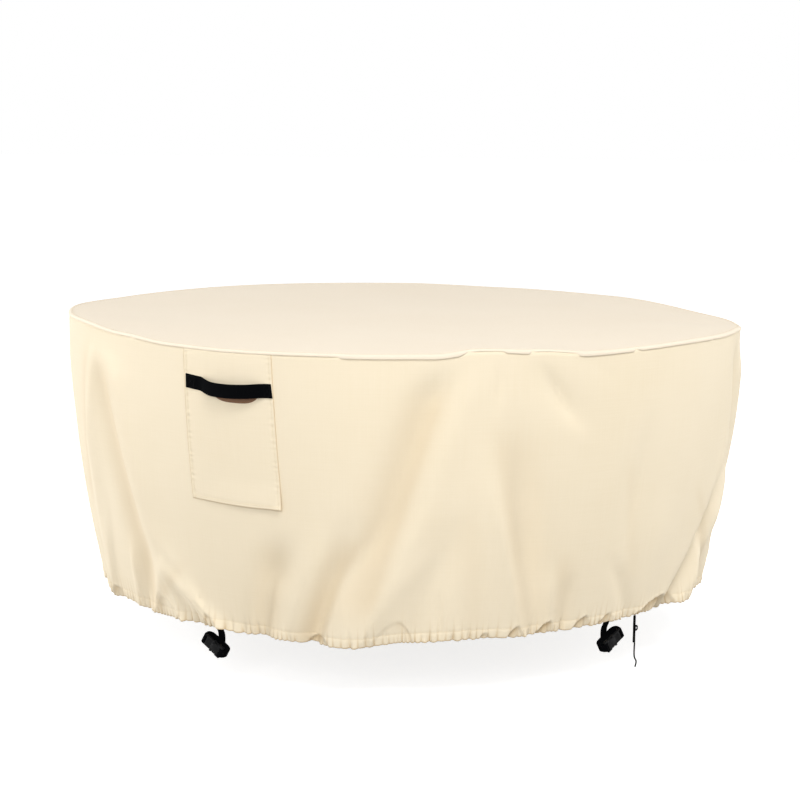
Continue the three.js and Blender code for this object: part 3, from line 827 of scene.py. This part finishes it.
def top_rings():
    """Rings from the middle of the upper face to the rim, over the lip and back under the top."""
    upper = [(1, RIM_RADIUS)]
    for count, start, end in TOP_ZONES:
        spread = np.linspace(start, end, round((end - start) / TOP_STEP) + 1)
        upper += [(count, RIM_RADIUS - radius) for radius in spread]
    upper += [(HEM_COLUMNS, inset) for inset in EDGE_INSETS]
    rings = [top_point(ring_azimuths(count), inset, top_level(inset)) for count, inset in upper]
    azimuth = ring_azimuths(HEM_COLUMNS)
    drop = level_at(LIP_DROP, azimuth)
    reach = lip_reach(azimuth, drop)
    brow = CLOTH + LIP_SWELL
    for turn in np.radians(LIP_TURNS):
        inset = -reach * math.cos(turn) + LIP_SETBACK * math.sin(turn)
        rings.append(top_point(azimuth, inset, brow - LIP_ROUND * (1 - math.sin(turn))))
    for part, back in LIP_BACKS:
        rings.append(top_point(azimuth, back - reach, brow - LIP_ROUND - drop * part + LIP_SWELL * part))
    rings.append(top_point(azimuth, *LIP_FOOT))
    for inset in UNDER_INSETS:
        rings.append(top_point(ring_azimuths(INNER_COLUMNS), inset, 0.0))
    rings.append(top_point(ring_azimuths(1), RIM_RADIUS, 0.0))
    return rings


# The top's cloth is a paler copy of the cream cloth: painted light, as the top faces the light
CREAM_CLOTH_PAINTED_LIGHTER = cream_cloth("cream_cloth_painted_lighter", (0.865, 0.765, 0.620, 1), (0.845, 0.740, 0.590, 1))
rings = top_rings()
points = np.concatenate(rings)
faces = ring_faces(rings, closed=False)
top = new_piece("round_top", points, faces, CREAM_CLOTH_PAINTED_LIGHTER, threads=points[:, :2])
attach(top, "root")
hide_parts("top_panel")

# The vent flap
# A second layer of the cloth over the vent, turned in at its edges and sewn down along its sides and top.
# Its lower edge hangs free and stands off towards the right corner.
FLAP_LEFT = (-35.4, -34.9)
FLAP_RIGHT = (-20, -18.75)
FLAP_SHARES = (0.007, 0.533)
FLAP_GAP = 0.0006
FLAP_CLOTH = 0.0015
FLAP_FACE = FLAP_GAP + FLAP_CLOTH
FLAP_COLUMNS = 96
FLAP_ROWS = 120
FLAP_SIZE = (0.285, 0.430)
FLAP_TURNED_IN = 0.011
# The seams press a groove into its sides and its foot
FLAP_SEAMS = (0.0008, 0.0006)
FLAP_SEAM_WIDTH = 0.0025
# The puckers beside its side seams, and between which insets from its edge they are seen
FLAP_PUCKERS = 0.0011
FLAP_PUCKERED = (0.006, 0.016)
# Their waves down the flap, how the distance between them sways, how they slant, and how their height swells
FLAP_WAVES = 150
FLAP_SWAY = (4, 9)
FLAP_SLANT = 5
FLAP_SWELL = (23, 1)
# It is full between its sides, pressed flat at its top, lifted at its foot and curled at its free corner
FLAP_PILLOW = 0.0010
FLAP_FULL_INSET = 0.05
FLAP_PRESSED = 0.0009
FLAP_PRESSED_END = 0.06
FLAP_LIFT = 0.005
FLAP_LIFT_START = 0.8
FLAP_LIFT_ACROSS = 0.7
FLAP_CURL = 0.004
FLAP_CURL_START = (0.86, 0.94)
# Painted shade along the flap's sides and foot, by its seams: how dark it is, and its width
FLAP_EDGE_SHADE = 0.55
FLAP_EDGE_WIDTH = 0.002


def flap_inset(across, down):
    """How far a place on the flap is from its nearer side, and from its lower edge."""
    turn = np.radians(mix(*FLAP_RIGHT, down) - mix(*FLAP_LEFT, down))
    height = (FLAP_SHARES[1] - FLAP_SHARES[0]) * DROP
    return np.minimum(across, 1 - across) * turn * RIM_RADIUS, (1 - down) * height


def rising_from(start, part):
    """Rises from 0 at the start to 1 where the part is 1."""
    return smooth((part - start) / (1 - start))


def flap_points(across, down, inward=0.0):
    """Points on the flap's face, or that far behind it. Across and down both run from 0 to 1."""
    azimuth = mix(mix(*FLAP_LEFT, down), mix(*FLAP_RIGHT, down), across)
    edge, foot = flap_inset(across, down)
    stand = FLAP_FACE + FLAP_PILLOW * smooth(edge / FLAP_FULL_INSET) * np.sin(math.pi * down)
    for depth, inset in zip(FLAP_SEAMS, (edge, foot)):
        stand = stand - depth * soft_profile((inset - FLAP_TURNED_IN) / FLAP_SEAM_WIDTH)
    sway = FLAP_SWAY[0] * np.sin(FLAP_SWAY[1] * down)
    drawn = np.sin(FLAP_WAVES * down + sway + FLAP_SLANT * across)
    drawn = drawn * np.sin(FLAP_SWELL[0] * down + FLAP_SWELL[1])
    nearer, further = FLAP_PUCKERED
    stand += FLAP_PUCKERS * drawn * soft_profile(edge / further) * smooth(edge / nearer)
    stand -= FLAP_PRESSED * (1 - smooth(down / FLAP_PRESSED_END))
    stand += FLAP_LIFT * rising_from(FLAP_LIFT_START, down) * smooth(across / FLAP_LIFT_ACROSS)
    curl_across, curl_down = FLAP_CURL_START
    stand += FLAP_CURL * rising_from(curl_down, down) * rising_from(curl_across, across)
    return on_skirt(azimuth, mix(*FLAP_SHARES, down), stand - inward)


def sheet_faces(rows, columns):
    """Faces of a sheet with two sides, whose points come as one grid for each side, and of its edges."""
    half = rows * columns
    at = np.arange(half).reshape(rows, columns)
    a, b, c, d = at[:-1, :-1], at[1:, :-1], at[1:, 1:], at[:-1, 1:]
    front = np.stack([a, b, c, d], axis=-1).reshape(-1, 4)
    back = front[:, ::-1] + half
    rim = np.concatenate([at[0, :], at[1:, -1], at[-1, -2::-1], at[-2:0:-1, 0]])
    ahead = np.roll(rim, -1)
    edge = np.stack([rim, ahead, ahead + half, rim + half], axis=-1)
    return np.concatenate([front, back, edge]).tolist()


across, down = np.meshgrid(np.linspace(0, 1, FLAP_COLUMNS), np.linspace(0, 1, FLAP_ROWS))
edge, foot = flap_inset(across, down)
# Painted shade: the flap's cloth is painted darker near its sides and its foot
flap_painted_shade = FLAP_EDGE_SHADE * soft_profile(np.minimum(edge, foot) / FLAP_EDGE_WIDTH)
threads = np.stack([across * FLAP_SIZE[0], -down * FLAP_SIZE[1]], axis=-1).reshape(-1, 2)
flap = new_piece(
    "vent_flap_cloth",
    np.concatenate([flap_points(across, down, inward).reshape(-1, 3) for inward in (0, FLAP_CLOTH)]),
    sheet_faces(FLAP_ROWS, FLAP_COLUMNS),
    CREAM_CLOTH,
    threads=np.tile(threads, (2, 1)),
    marks={"painted_shade": np.tile(flap_painted_shade.ravel(), 2)},
)
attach(flap, "root")
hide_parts("vent_flap")

# The handle
# Black polyester webbing, 39 mm wide, sewn flat on the flap at both ends and standing off it in the middle,
# so that a hand goes under it.
WEBBING = 0.0016
HANDLE_WIDTH = 1.55 * INCH
HANDLE_GAP = 0.0009
# The middle line from the left end to the right one: azimuth, share, and how far it stands off the flap
HANDLE_PATH = [
    (-34.9, 0.117, 0), (-33.4, 0.120, 0), (-32, 0.1225, 0.0005), (-31, 0.1275, 0.008), (-29.8, 0.1325, 0.015),
    (-28, 0.134, 0.020), (-26, 0.1335, 0.022), (-23.6, 0.131, 0.018), (-21.9, 0.128, 0.008),
    (-21, 0.1275, 0.001), (-19.9, 0.1275, 0),
]
# How far the cut ends lean, as sideways shift over height
HANDLE_SLANT = 0.13
# Between which of four points a curve is blended, in three rounds
CURVE_ROUNDS = (((0, 1), (1, 2), (2, 3)), ((0, 2), (1, 3)), ((1, 2),))


def line_run(line):
    """How far each point of a line is from its start."""
    return np.concatenate([[0], np.cumsum(np.linalg.norm(np.diff(line, axis=0), axis=1))])


def sampled(places, run, values):
    """Points or ways at some lengths along a line, from those at the lengths that are known."""
    return np.stack([np.interp(places, run, values[:, axis]) for axis in range(3)], axis=1)


def smooth_line(points, step):
    """A smooth curve through a row of points, with its points that far apart."""
    given = np.asarray(points, float)
    ends = [2 * given[0] - given[1], *given, 2 * given[-1] - given[-2]]
    drawn = []
    for four in zip(ends, ends[1:], ends[2:], ends[3:]):
        knots = np.cumsum([0] + [math.sqrt(np.linalg.norm(b - a)) for a, b in zip(four, four[1:])])
        for t in np.linspace(knots[1], knots[2], 24, endpoint=False):
            level = four
            for spans in CURVE_ROUNDS:
                parts = [(t - knots[a]) / (knots[b] - knots[a]) for a, b in spans]
                level = [mix(first, second, part) for first, second, part in zip(level, level[1:], parts)]
            drawn.append(level[0])
    drawn = np.array([*drawn, given[-1]])
    along = line_run(drawn)
    places = np.linspace(0, along[-1], max(2, round(along[-1] / step) + 1))
    return sampled(places, along, drawn)


def unit(vectors):
    """The same ways, each with length 1."""
    return vectors / np.linalg.norm(vectors, axis=-1, keepdims=True)


def webbing_faces(steps, around):
    """Faces of a closed strip whose rings follow each other, with both ends covered."""
    at = np.arange(steps * around).reshape(steps, around)
    a, b = at[:-1], at[1:]
    walls = np.stack([a, np.roll(a, -1, 1), np.roll(b, -1, 1), b], axis=-1).reshape(-1, 4)
    faces = walls.tolist()
    for ring, flipped in ((at[0], True), (at[-1], False)):
        near, far = ring[: around // 2], ring[::-1][: around // 2]
        cap = np.stack([near[:-1], near[1:], far[1:], far[:-1]], axis=-1).tolist()
        faces += [face[::-1] for face in cap] if flipped else cap
    return faces


def line_frames(line, sideways):
    """At each point of a webbing's line, the ways along it, across it, and out of its face."""
    along = unit(np.gradient(line, axis=0))
    sideways = np.asarray(sideways, float)
    side = unit(sideways - along * (along @ sideways)[:, None])
    return along, side, np.cross(along, side)


def swept(name, line, side, out, section, across, look):
    """A piece with a closed section along a line. The section's points are given to the side and outwards,
    and across is how far round the piece's surface each of them is."""
    rings = line[:, None] + side[:, None] * section[..., :1] + out[:, None] * section[..., 1:]
    threads = np.stack(np.broadcast_arrays(line_run(line)[:, None], across), axis=-1).reshape(-1, 2)
    faces = webbing_faces(len(line), len(across))
    return new_piece(name, rings.reshape(-1, 3), faces, look, threads)


def webbing_strip(name, line, sideways, width, slant=0):
    """Webbing along a line, with its width in the sideways direction: flat faces and rounded selvedges.
    Where it is slanted, its ends are cut at an angle."""
    along, side, through = line_frames(line, sideways)
    half_width, half_thick = width / 2, WEBBING / 2
    flat = np.linspace(-1, 1, WEBBING_ACROSS) * (half_width - half_thick)
    half = [(x, half_thick) for x in flat]
    half += [(half_width, half_thick * SELVEDGE), (half_width, -half_thick * SELVEDGE)]
    section = np.array(half + [(-x, -z) for x, z in half])
    return swept(name, line, side - slant * along, through, section, section[:, 0], BLACK_WEBBING)


def woven_material(name, dark, light, pitch, depth, strength, roughness, shine, stretch=1, turn=0):
    """Woven or braided thread, with painted light: lighter on its raised threads and darker between them.
    Stretch is how much further apart the threads are in one way than in the other, and turn is the angle at
    which they cross the cloth."""
    made, tree, shader = new_material(name)
    laid = {"Vector": cloth_place(tree), "Scale": (1, 1 / stretch, 1), "Rotation": (0, 0, turn)}
    place = add_node(tree, "ShaderNodeMapping", laid).outputs[0]
    height = woven(tree, place, pitch)["Height"]
    set_inputs(shader, {
        "Base Color": blend(tree, height, dark, light),
        "Normal": relief(tree, height, strength, depth),
        "Roughness": roughness,
        "Specular IOR Level": shine,
    })
    return made


WEBBING_ACROSS = 20
SELVEDGE = 0.4
# Ribs across the webbing, each crossed by slanting threads
BLACK_WEBBING = woven_material(
    "black_webbing",
    dark=(0.0008, 0.0009, 0.0013, 1),
    light=(0.0036, 0.0040, 0.0050, 1),
    pitch=0.0016,
    stretch=1.5,
    depth=0.0004,
    strength=0.6,
    roughness=0.9,
    shine=0.03,
)
handle_places = []
for azimuth, share, stand in HANDLE_PATH:
    handle_places.append(on_skirt(azimuth, share, FLAP_FACE + HANDLE_GAP + WEBBING / 2 + stand))
handle_line = smooth_line(handle_places, 0.003)
handle = webbing_strip("handle_webbing", handle_line, (0, 0, 1), HANDLE_WIDTH, HANDLE_SLANT)
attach(handle, "root")
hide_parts("handle_strap")

# The brown half-moon
# A half-moon in a brown woven look on the flap under the handle, where the handle's shadow falls: a painted
# shadow built as a thin crowned piece. Its straight upper edge is hidden by the webbing.
PAD_MIDDLE = -26
PAD_HALF_WIDTH = 4.0
PAD_TOP = 0.126
PAD_BOTTOM = 0.176
PAD_END = 0.008
PAD_THICK = 0.0032
# How full its lower edge and its crown are
PAD_FULLNESS = 3.2
PAD_CROWN = 0.3
PAD_STEPS = 48
PAD_AROUND = 24


def handle_shadow_rings():
    """Sections from the half-moon's left end to its right one: a crowned face and a flat back."""
    rings, threads = [], []
    back = FLAP_FACE + SEAM_GAP
    for across in np.linspace(-0.999, 0.999, PAD_STEPS):
        azimuth = PAD_MIDDLE + across * PAD_HALF_WIDTH
        lower = mix(PAD_TOP + PAD_END / DROP, PAD_BOTTOM, (1 - abs(across) ** PAD_FULLNESS) ** 0.5)
        turn = np.linspace(0, 2 * math.pi, PAD_AROUND, endpoint=False)
        down = 0.5 - 0.5 * np.sign(np.cos(turn)) * np.abs(np.cos(turn)) ** 0.8
        face = np.clip(np.sin(turn), 0, None) ** 0.5
        share = mix(PAD_TOP, lower, down)
        crown = PAD_THICK * (1 - across * across) ** PAD_CROWN
        rings.append(on_skirt(np.full(PAD_AROUND, azimuth), share, back + face * crown))
        sideways = np.full(PAD_AROUND, math.radians(azimuth) * RIM_RADIUS)
        threads.append(np.stack([sideways, -share * DROP], axis=1))
    return rings, threads


rings, threads = handle_shadow_rings()
# Brown for the half-moon: painted shadow of the handle
brown_shadow_look = woven_material(
    "brown_painted_shadow",
    dark=(0.155, 0.082, 0.045, 1),
    light=(0.330, 0.190, 0.115, 1),
    pitch=0.0016,
    depth=0.0005,
    strength=0.5,
    roughness=0.85,
    shine=0.2,
)
handle_shadow = new_piece(
    "handle_shadow_piece",
    np.concatenate(rings),
    webbing_faces(PAD_STEPS, PAD_AROUND),
    brown_shadow_look,
    threads=np.concatenate(threads),
)
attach(handle_shadow, "root")
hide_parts("grip_pad")

# The buckle straps
# Two loops of 25 mm webbing, each closed by a side-release buckle. A tab of the same webbing is sewn inside
# the hem and carries the loop, which hangs closed and tilted, as when it is buckled round a post.
STRAP_WIDTH = INCH
STRAP_TILT = 30
LOOP_PLACE = (0, 0.006, -0.057)
LOOP_BACK = 0.021
# The loop's webbing: round the housing's end bar, round the back, and round the clip's end bar, where both
# of its ends are turned back on it and sewn. Along the slope, and outwards.
LOOP_PATH = [
    (0.0408, 0.0035), (0.0388, 0.0076), (0.0345, 0.0084), (0.0312, 0.0105), (0.0306, 0.0145),
    (0.0320, 0.0186), (0.0350, 0.0197), (0.0382, 0.0186), (0.0404, 0.0150), (0.0428, 0.0105),
    (0.0442, 0.0040), (0.044, -0.009), (0.034, -0.019), (0.012, -LOOP_BACK), (-0.014, -LOOP_BACK),
    (-0.034, -0.019), (-0.0432, -0.009), (-0.0430, 0.0040), (-0.0416, 0.0100), (-0.0392, 0.0146),
    (-0.0370, 0.0178), (-0.0338, 0.0190), (-0.0308, 0.0178), (-0.0296, 0.0140), (-0.0302, 0.0104),
    (-0.0334, 0.0080), (-0.0374, 0.0072), (-0.0398, 0.0030),
]
TAB_ACROSS = 0.004
TAB_SEWN = 0.030
TAB_CLEARANCE = 0.012
TAB_BEHIND_LOOP = 0.0005
TAB_LEVEL_FROM = -0.030
TAB_END = -0.074
STRAPS = (("left", -33.7, False), ("right", 39.3, True))


def hem_frame(azimuth, mirrored=False):
    """The place on the hem's outer face that a tab or cord hangs from: +X sideways, -Y outwards, +Z up."""
    radius = RIM_RADIUS - DRAW_IN + folded(FOLDS, azimuth, 1.0)
    origin = around_axis(azimuth, radius, skirt_height(azimuth, 1.0))
    mirror = Matrix.Diagonal((-1 if mirrored else 1, 1, 1, 1))
    return Matrix.Translation(origin) @ Matrix.Rotation(math.radians(azimuth), 4, "Z") @ mirror


def moved(matrix, points):
    """The points where the matrix takes them."""
    turn, shift = np.array(matrix.to_3x3()), np.array(matrix.translation)
    return np.asarray(points, float) @ turn.T + shift


def tab_line(azimuth):
    """The tab's middle line: up inside the hem, then down behind the loop's back."""
    def wall_inset(height):
        share = 1 - height / DROP
        leaning = float(skirt_radius(azimuth, 1.0) - skirt_radius(azimuth, share))
        return leaning + HEM_THICKNESS + TAB_CLEARANCE

    behind = LOOP_PLACE[1] + LOOP_BACK + WEBBING + TAB_BEHIND_LOOP
    return [
        (TAB_ACROSS, wall_inset(TAB_SEWN), TAB_SEWN),
        (TAB_ACROSS, wall_inset(TAB_SEWN / 2), TAB_SEWN / 2),
        (TAB_ACROSS, wall_inset(0), 0),
        (TAB_ACROSS, mix(wall_inset(0), behind, 0.5), TAB_LEVEL_FROM / 2),
        (TAB_ACROSS, behind, TAB_LEVEL_FROM),
        (TAB_ACROSS, behind, TAB_END),
    ]


def black_plastic():
    """Moulded plastic with a fine even grain, a little worn: greyer and rougher in soft random patches."""
    made, tree, shader = new_material("black_buckle_plastic")
    place = add_node(tree, "ShaderNodeTexCoord").outputs["Object"]
    worn = noise(tree, place, 90.0, 3.0)
    set_inputs(shader, {
        "Base Color": blend(tree, worn, (0.0022, 0.0024, 0.0028, 1), (0.0065, 0.0068, 0.0075, 1)),
        "Roughness": ranged(tree, worn, 0.3, 0.7, 0.42, 0.58),
        "Normal": relief(tree, noise(tree, place, 2600.0, 2.0), 0.2, 0.0001),
        "Specular IOR Level": 0.2,
    })
    return made


BLACK_PLASTIC = black_plastic()
CORNER_STEPS = 5
SOFT_EDGE = 0.0007
# A block of a buckle half, in millimetres: its two ends along the loop, its two sides across it, the radius
# of its corners, and how far outwards its faces are. One beside the middle has its like on the other side.
Block = namedtuple("Block", "start end low high corner near far")
MILLIMETRE = 0.001
# The outer half: a hollow box with a window on each side, arms with a bar for the webbing, and a raised panel
HOUSING_BLOCKS = [
    Block(-3, 28.5, -13.8, 13.8, 3, 8, 19.6),
    Block(-3, 5.5, 9, 18, 2.8, 8, 19.6),
    Block(19.5, 37, 13.8, 18, 2, 8.5, 19.2),
    Block(33.5, 36.5, -15, 15, 1.2, 10.5, 17.6),
    Block(1, 25, -9.5, 9.5, 4, 19, 20.2),
]
# The inner half: shoulders, arms with a bar for the webbing, grip ribs, and the tips of its two prongs
CLIP_BLOCKS = [
    Block(-26.2, -3.5, -15.5, 15.5, 3, 9.5, 17.2),
    Block(-36, -24, 11.9, 15.5, 2, 9.8, 17),
    Block(-35.6, -32.8, -12.5, 12.5, 1.2, 10, 16.8),
    *(Block(middle - 0.8, middle + 0.8, -10.5, 10.5, 0.6, 16.5, 18) for middle in (-21.5, -18, -14.5)),
    Block(6.5, 18.5, 14, 17.4, 1.6, 11.2, 16.8),
]


def finished(piece, matrix=None):
    """The piece with its modifiers applied and its place put into its mesh."""
    shown = piece.evaluated_get(bpy.context.evaluated_depsgraph_get())
    mesh = bpy.data.meshes.new_from_object(shown)
    piece.modifiers.clear()
    piece.data = mesh
    if matrix is not None:
        mesh.transform(matrix)
        if matrix.determinant() < 0:
            mesh.flip_normals()
    return piece


def round_outline(start, end, low, high, corner):
    """A rectangle with round corners, in the loop's plane."""
    points = []
    for k in range(4):
        middle_x = end - corner if k in (0, 3) else start + corner
        middle_z = high - corner if k in (0, 1) else low + corner
        for turn in np.radians(np.linspace(90 * k, 90 * k + 90, CORNER_STEPS + 1)):
            points.append((middle_x + corner * math.cos(turn), middle_z + corner * math.sin(turn)))
    return points


def moulded(name, blocks, matrix):
    """A moulded piece of several blocks, whose edges are softened together."""
    outlines = []
    for block in blocks:
        outlines.append((round_outline(*block[:5]), block.near, block.far))
        if block.low > 0:
            other = round_outline(block.start, block.end, -block.high, -block.low, block.corner)
            outlines.append((other, block.near, block.far))
    points, faces = [], []
    for outline, near, far in outlines:
        count, start = len(outline), len(points)
        points += [(x, -out, z) for out in (near, far) for x, z in outline]
        faces.append([start + k for k in range(count)])
        faces.append([start + 2 * count - 1 - k for k in range(count)])
        for k in range(count):
            ahead = (k + 1) % count
            faces.append([start + k, start + k + count, start + ahead + count, start + ahead])
    piece = new_piece(name, np.array(points) * MILLIMETRE, faces, BLACK_PLASTIC)
    soften = piece.modifiers.new("soft_edges", "BEVEL")
    soften.width = SOFT_EDGE
    soften.segments = 2
    soften.limit_method = "ANGLE"
    soften.angle_limit = math.radians(40)
    return finished(piece, matrix)


for side, azimuth, mirrored in STRAPS:
    hem = hem_frame(azimuth, mirrored)
    loop_frame = hem @ Matrix.Translation(LOOP_PLACE) @ Matrix.Rotation(math.radians(STRAP_TILT), 4, "Y")
    tab_way = hem.to_3x3() @ Vector((1, 0, 0))
    tab = webbing_strip(
        f"{side}_tab_webbing",
        smooth_line(moved(hem, tab_line(azimuth)), 0.003),
        tab_way,
        STRAP_WIDTH,
    )
    loop_line = moved(loop_frame, [(along, -out, 0) for along, out in LOOP_PATH])
    loop = webbing_strip(
        f"{side}_loop_webbing",
        smooth_line(loop_line, 0.002),
        loop_frame.to_3x3() @ Vector((0, 0, 1)),
        STRAP_WIDTH,
    )
    housing = moulded(f"{side}_housing_body", HOUSING_BLOCKS, loop_frame)
    clip = moulded(f"{side}_clip_body", CLIP_BLOCKS, loop_frame)
    for piece, node, slot in (
        (tab, f"{side}_strap_tab", "black_webbing"),
        (loop, f"{side}_strap_loop", "black_webbing"),
        (housing, f"{side}_buckle_housing", "black_plastic"),
        (clip, f"{side}_buckle_clip", "black_plastic"),
    ):
        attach(piece, "root")
        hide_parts(node)

# The stitching
# Rows of lockstitch: cream thread along the top's edge, along the cord's casing and round the flap, and
# black thread where the handle is sewn down. Each stitch is a short length of twisted thread.
STITCH_LENGTH = 0.0034
STITCH_PITCH = 0.0042
THREAD = 0.0009
# How far the thread's middle lies off the webbing and off the cream cloth
THREAD_LIFT = 0.0001
CREAM_THREAD_LIFT = 0.0002
TOP_ROW_INSET = 0.009
BOX_STEPS = 12
BOX_INSET = 0.005
# How much nearer to the flap's edge its rows are than the edge of the cloth that is turned in
FLAP_ROW_SHIFT = 0.002


def stitch_tree():
    """A node tree that lays stitches along the edges of a mesh."""
    sizes = {"Pitch": "Float", "Length": "Float", "Thread": "Float"}
    inputs = {"Geometry": "Geometry", **sizes, "Look": "Material"}
    tree, given = new_group("stitch_rows", "GeometryNodeTree", inputs, {"Geometry": "Geometry"})
    rows = add_node(tree, "GeometryNodeMeshToCurve", {"Mesh": given["Geometry"]})
    spread = {"Curve": rows.outputs[0], "Length": given["Pitch"]}
    places = add_node(tree, "GeometryNodeCurveToPoints", spread, mode="LENGTH").outputs
    thick = given["Thread"]
    size = add_node(tree, "ShaderNodeCombineXYZ", {"X": thick, "Y": thick, "Z": given["Length"]})
    bead = add_node(tree, "GeometryNodeMeshIcoSphere", {"Radius": 0.5, "Subdivisions": 1})
    laid = add_node(tree, "GeometryNodeInstanceOnPoints", {
        "Points": places["Points"],
        "Instance": bead.outputs["Mesh"],
        "Rotation": places["Rotation"],
        "Scale": size.outputs[0],
    })
    plain = add_node(tree, "GeometryNodeRealizeInstances", {"Geometry": laid.outputs[0]})
    rounded = add_node(tree, "GeometryNodeSetShadeSmooth", {"Geometry": plain.outputs[0]})
    coloured = {"Geometry": rounded.outputs[0], "Material": given["Look"]}
    look = add_node(tree, "GeometryNodeSetMaterial", coloured)
    add_node(tree, "NodeGroupOutput", {"Geometry": look.outputs[0]})
    return tree


STITCH_TREE = stitch_tree()


def stitches(name, rows, look):
    """One piece of all the stitches along rows of points that lie on the cloth."""
    edges = []
    for row in rows:
        start = edges[-1][1] + 1 if edges else 0
        edges += [(start + k, start + k + 1) for k in range(len(row) - 1)]
    mesh = bpy.data.meshes.new(name)
    mesh.from_pydata(np.concatenate(rows).tolist(), edges, [])
    piece = add_object(name, mesh)
    sewn = piece.modifiers.new("stitches", "NODES")
    sewn.node_group = STITCH_TREE
    values = {"Pitch": STITCH_PITCH, "Length": STITCH_LENGTH, "Thread": THREAD, "Look": look}
    for socket in STITCH_TREE.interface.items_tree:
        if socket.name in values:
            sewn[socket.identifier] = values[socket.name]
    finished(piece)
    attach(piece, "root")


def sewing_thread(name, light, dark):
    """Twisted thread, with painted shade: random darker specks for the dark between its strands."""
    made, tree, shader = new_material(name)
    place = add_node(tree, "ShaderNodeTexCoord").outputs["Object"]
    strands = noise(tree, place, 1400.0, 2.0)
    set_inputs(shader, {
        "Base Color": blend(tree, strands, dark, light),
        "Roughness": 0.7,
        "Specular IOR Level": 0.1,
    })
    return made


def webbing_box(line, sideways, start, end, half_width):
    """A box with its two diagonals on a webbing's face, between two lengths along its line."""
    along, side, through = line_frames(line, sideways)
    run = line_run(line)
    corners = [(start, -1), (end, -1), (end, 1), (start, 1), (start, -1), (end, 1), (end, -1), (start, 1)]
    sides = len(corners) - 1
    steps = np.linspace(0, sides, BOX_STEPS * sides, endpoint=False)
    here, over = (np.interp(steps, range(len(corners)), values) for values in zip(*corners))
    middle, across, out = (sampled(here, run, values) for values in (line, side, through))
    face = np.sign(out[:, 1:2]) * out * (WEBBING / 2 + THREAD_LIFT)
    return middle + across * (over * half_width)[:, None] - face


azimuth = np.append(ring_azimuths(HEM_COLUMNS), ring_azimuths(HEM_COLUMNS)[0])
casing_out, casing_down, _ = hem_form(azimuth, CASING)
casing_row = on_skirt(azimuth, np.full(len(azimuth), 1 - CASING / DROP), casing_out + CREAM_THREAD_LIFT)
casing_row[:, 2] -= casing_down
down = np.linspace(0.02, 1, 160)
side_inset = FLAP_TURNED_IN - FLAP_ROW_SHIFT
side_share = side_inset / flap_inset(0.5, down)[0] / 2
foot_down = 1 - side_inset / flap_inset(0.5, 0.0)[1]
across = np.linspace(0.04, 0.96, 120)
stitches(
    "cream_stitches",
    [
        top_point(azimuth, TOP_ROW_INSET, top_level(TOP_ROW_INSET) + CREAM_THREAD_LIFT),
        casing_row,
        flap_points(side_share, down, -CREAM_THREAD_LIFT),
        flap_points(1 - side_share, down, -CREAM_THREAD_LIFT),
        flap_points(across, np.full(len(across), foot_down), -CREAM_THREAD_LIFT),
    ],
    sewing_thread("cream_thread", (0.80, 0.68, 0.46, 1), (0.62, 0.50, 0.31, 1)),
)
handle_end = line_run(handle_line)[-1]
boxes = ((BOX_INSET, 0.030), (handle_end - 0.022, handle_end - BOX_INSET))
stitches(
    "black_stitches",
    [webbing_box(handle_line, (0, 0, 1), *box, HANDLE_WIDTH / 2 - BOX_INSET) for box in boxes],
    sewing_thread("black_thread", (0.012, 0.012, 0.014, 1), (0.004, 0.004, 0.005, 1)),
)

# The drawcord
# The tail of the braided cord that runs in the hem: both ends come out of the hem's lower edge and hang,
# tied together by a knot that leaves a small ring.
CORD_AZIMUTH = 44.9
CORD_DIAMETER = 0.0045
LONG_END = [(0, -0.0006), (0, -0.030), (0.0004, -0.079), (0.0015, -0.127), (0.0105, -0.142), (0.006, -0.159)]
SHORT_END = [(-0.005, -0.0006), (-0.0052, -0.026), (-0.0049, -0.055), (-0.0054, -0.082)]
RING_PLACE = (0.0005, -0.038)
RING_SIZE = (0.0050, 0.0066)
RING_STEPS = 48
CORD_AROUND = 16
# The cord's radius at its first points from either end, as a part of the whole
CORD_END_ROUND = (0.6, 0.92)
BLACK_BRAID = woven_material(
    "black_braid",
    dark=(0.0006, 0.0007, 0.0009, 1),
    light=(0.0028, 0.0030, 0.0035, 1),
    pitch=0.0009,
    turn=math.radians(45),
    depth=0.0003,
    strength=0.6,
    roughness=0.8,
    shine=0.04,
)


def round_cord(name, line):
    """A round tube along a line, with rounded ends."""
    along = unit(np.gradient(line, axis=0))
    side = unit(np.cross(along, np.array((0.0, 1.0, 0.0)) + 1e-6))
    turn = np.linspace(0, 2 * math.pi, CORD_AROUND, endpoint=False)
    radius = np.full(len(line), CORD_DIAMETER / 2)
    for k, part in enumerate(CORD_END_ROUND):
        radius[[k, -1 - k]] *= part
    section = radius[:, None, None] * np.stack([np.cos(turn), np.sin(turn)], axis=1)
    return swept(name, line, side, np.cross(along, side), section, turn * CORD_DIAMETER / 2, BLACK_BRAID)


cord_frame = hem_frame(CORD_AZIMUTH)
cord_inset = HEM_THICKNESS / 2
ring_turns = np.linspace(0, 2 * math.pi, RING_STEPS)
ring_line = np.stack(
    [
        RING_PLACE[0] + RING_SIZE[0] * np.cos(ring_turns),
        np.full(RING_STEPS, cord_inset - CORD_DIAMETER),
        RING_PLACE[1] + RING_SIZE[1] * np.sin(ring_turns),
    ],
    axis=1,
)
knot = round_cord("drawcord_knot_ring", moved(cord_frame, ring_line))
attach(knot, "root")
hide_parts("drawcord_knot")
for name, places, node, pieces in (
    ("drawcord_long", LONG_END, "drawcord_long_end", [knot]),
    ("drawcord_short", SHORT_END, "drawcord_short_end", []),
):
    line = smooth_line(moved(cord_frame, [(side, cord_inset, height) for side, height in places]), 0.001)
    cord = round_cord(name, line)
    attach(cord, "root")
    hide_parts(node)

boxes = {"cad": [cad_low, cad_high], "visual": list(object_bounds())}
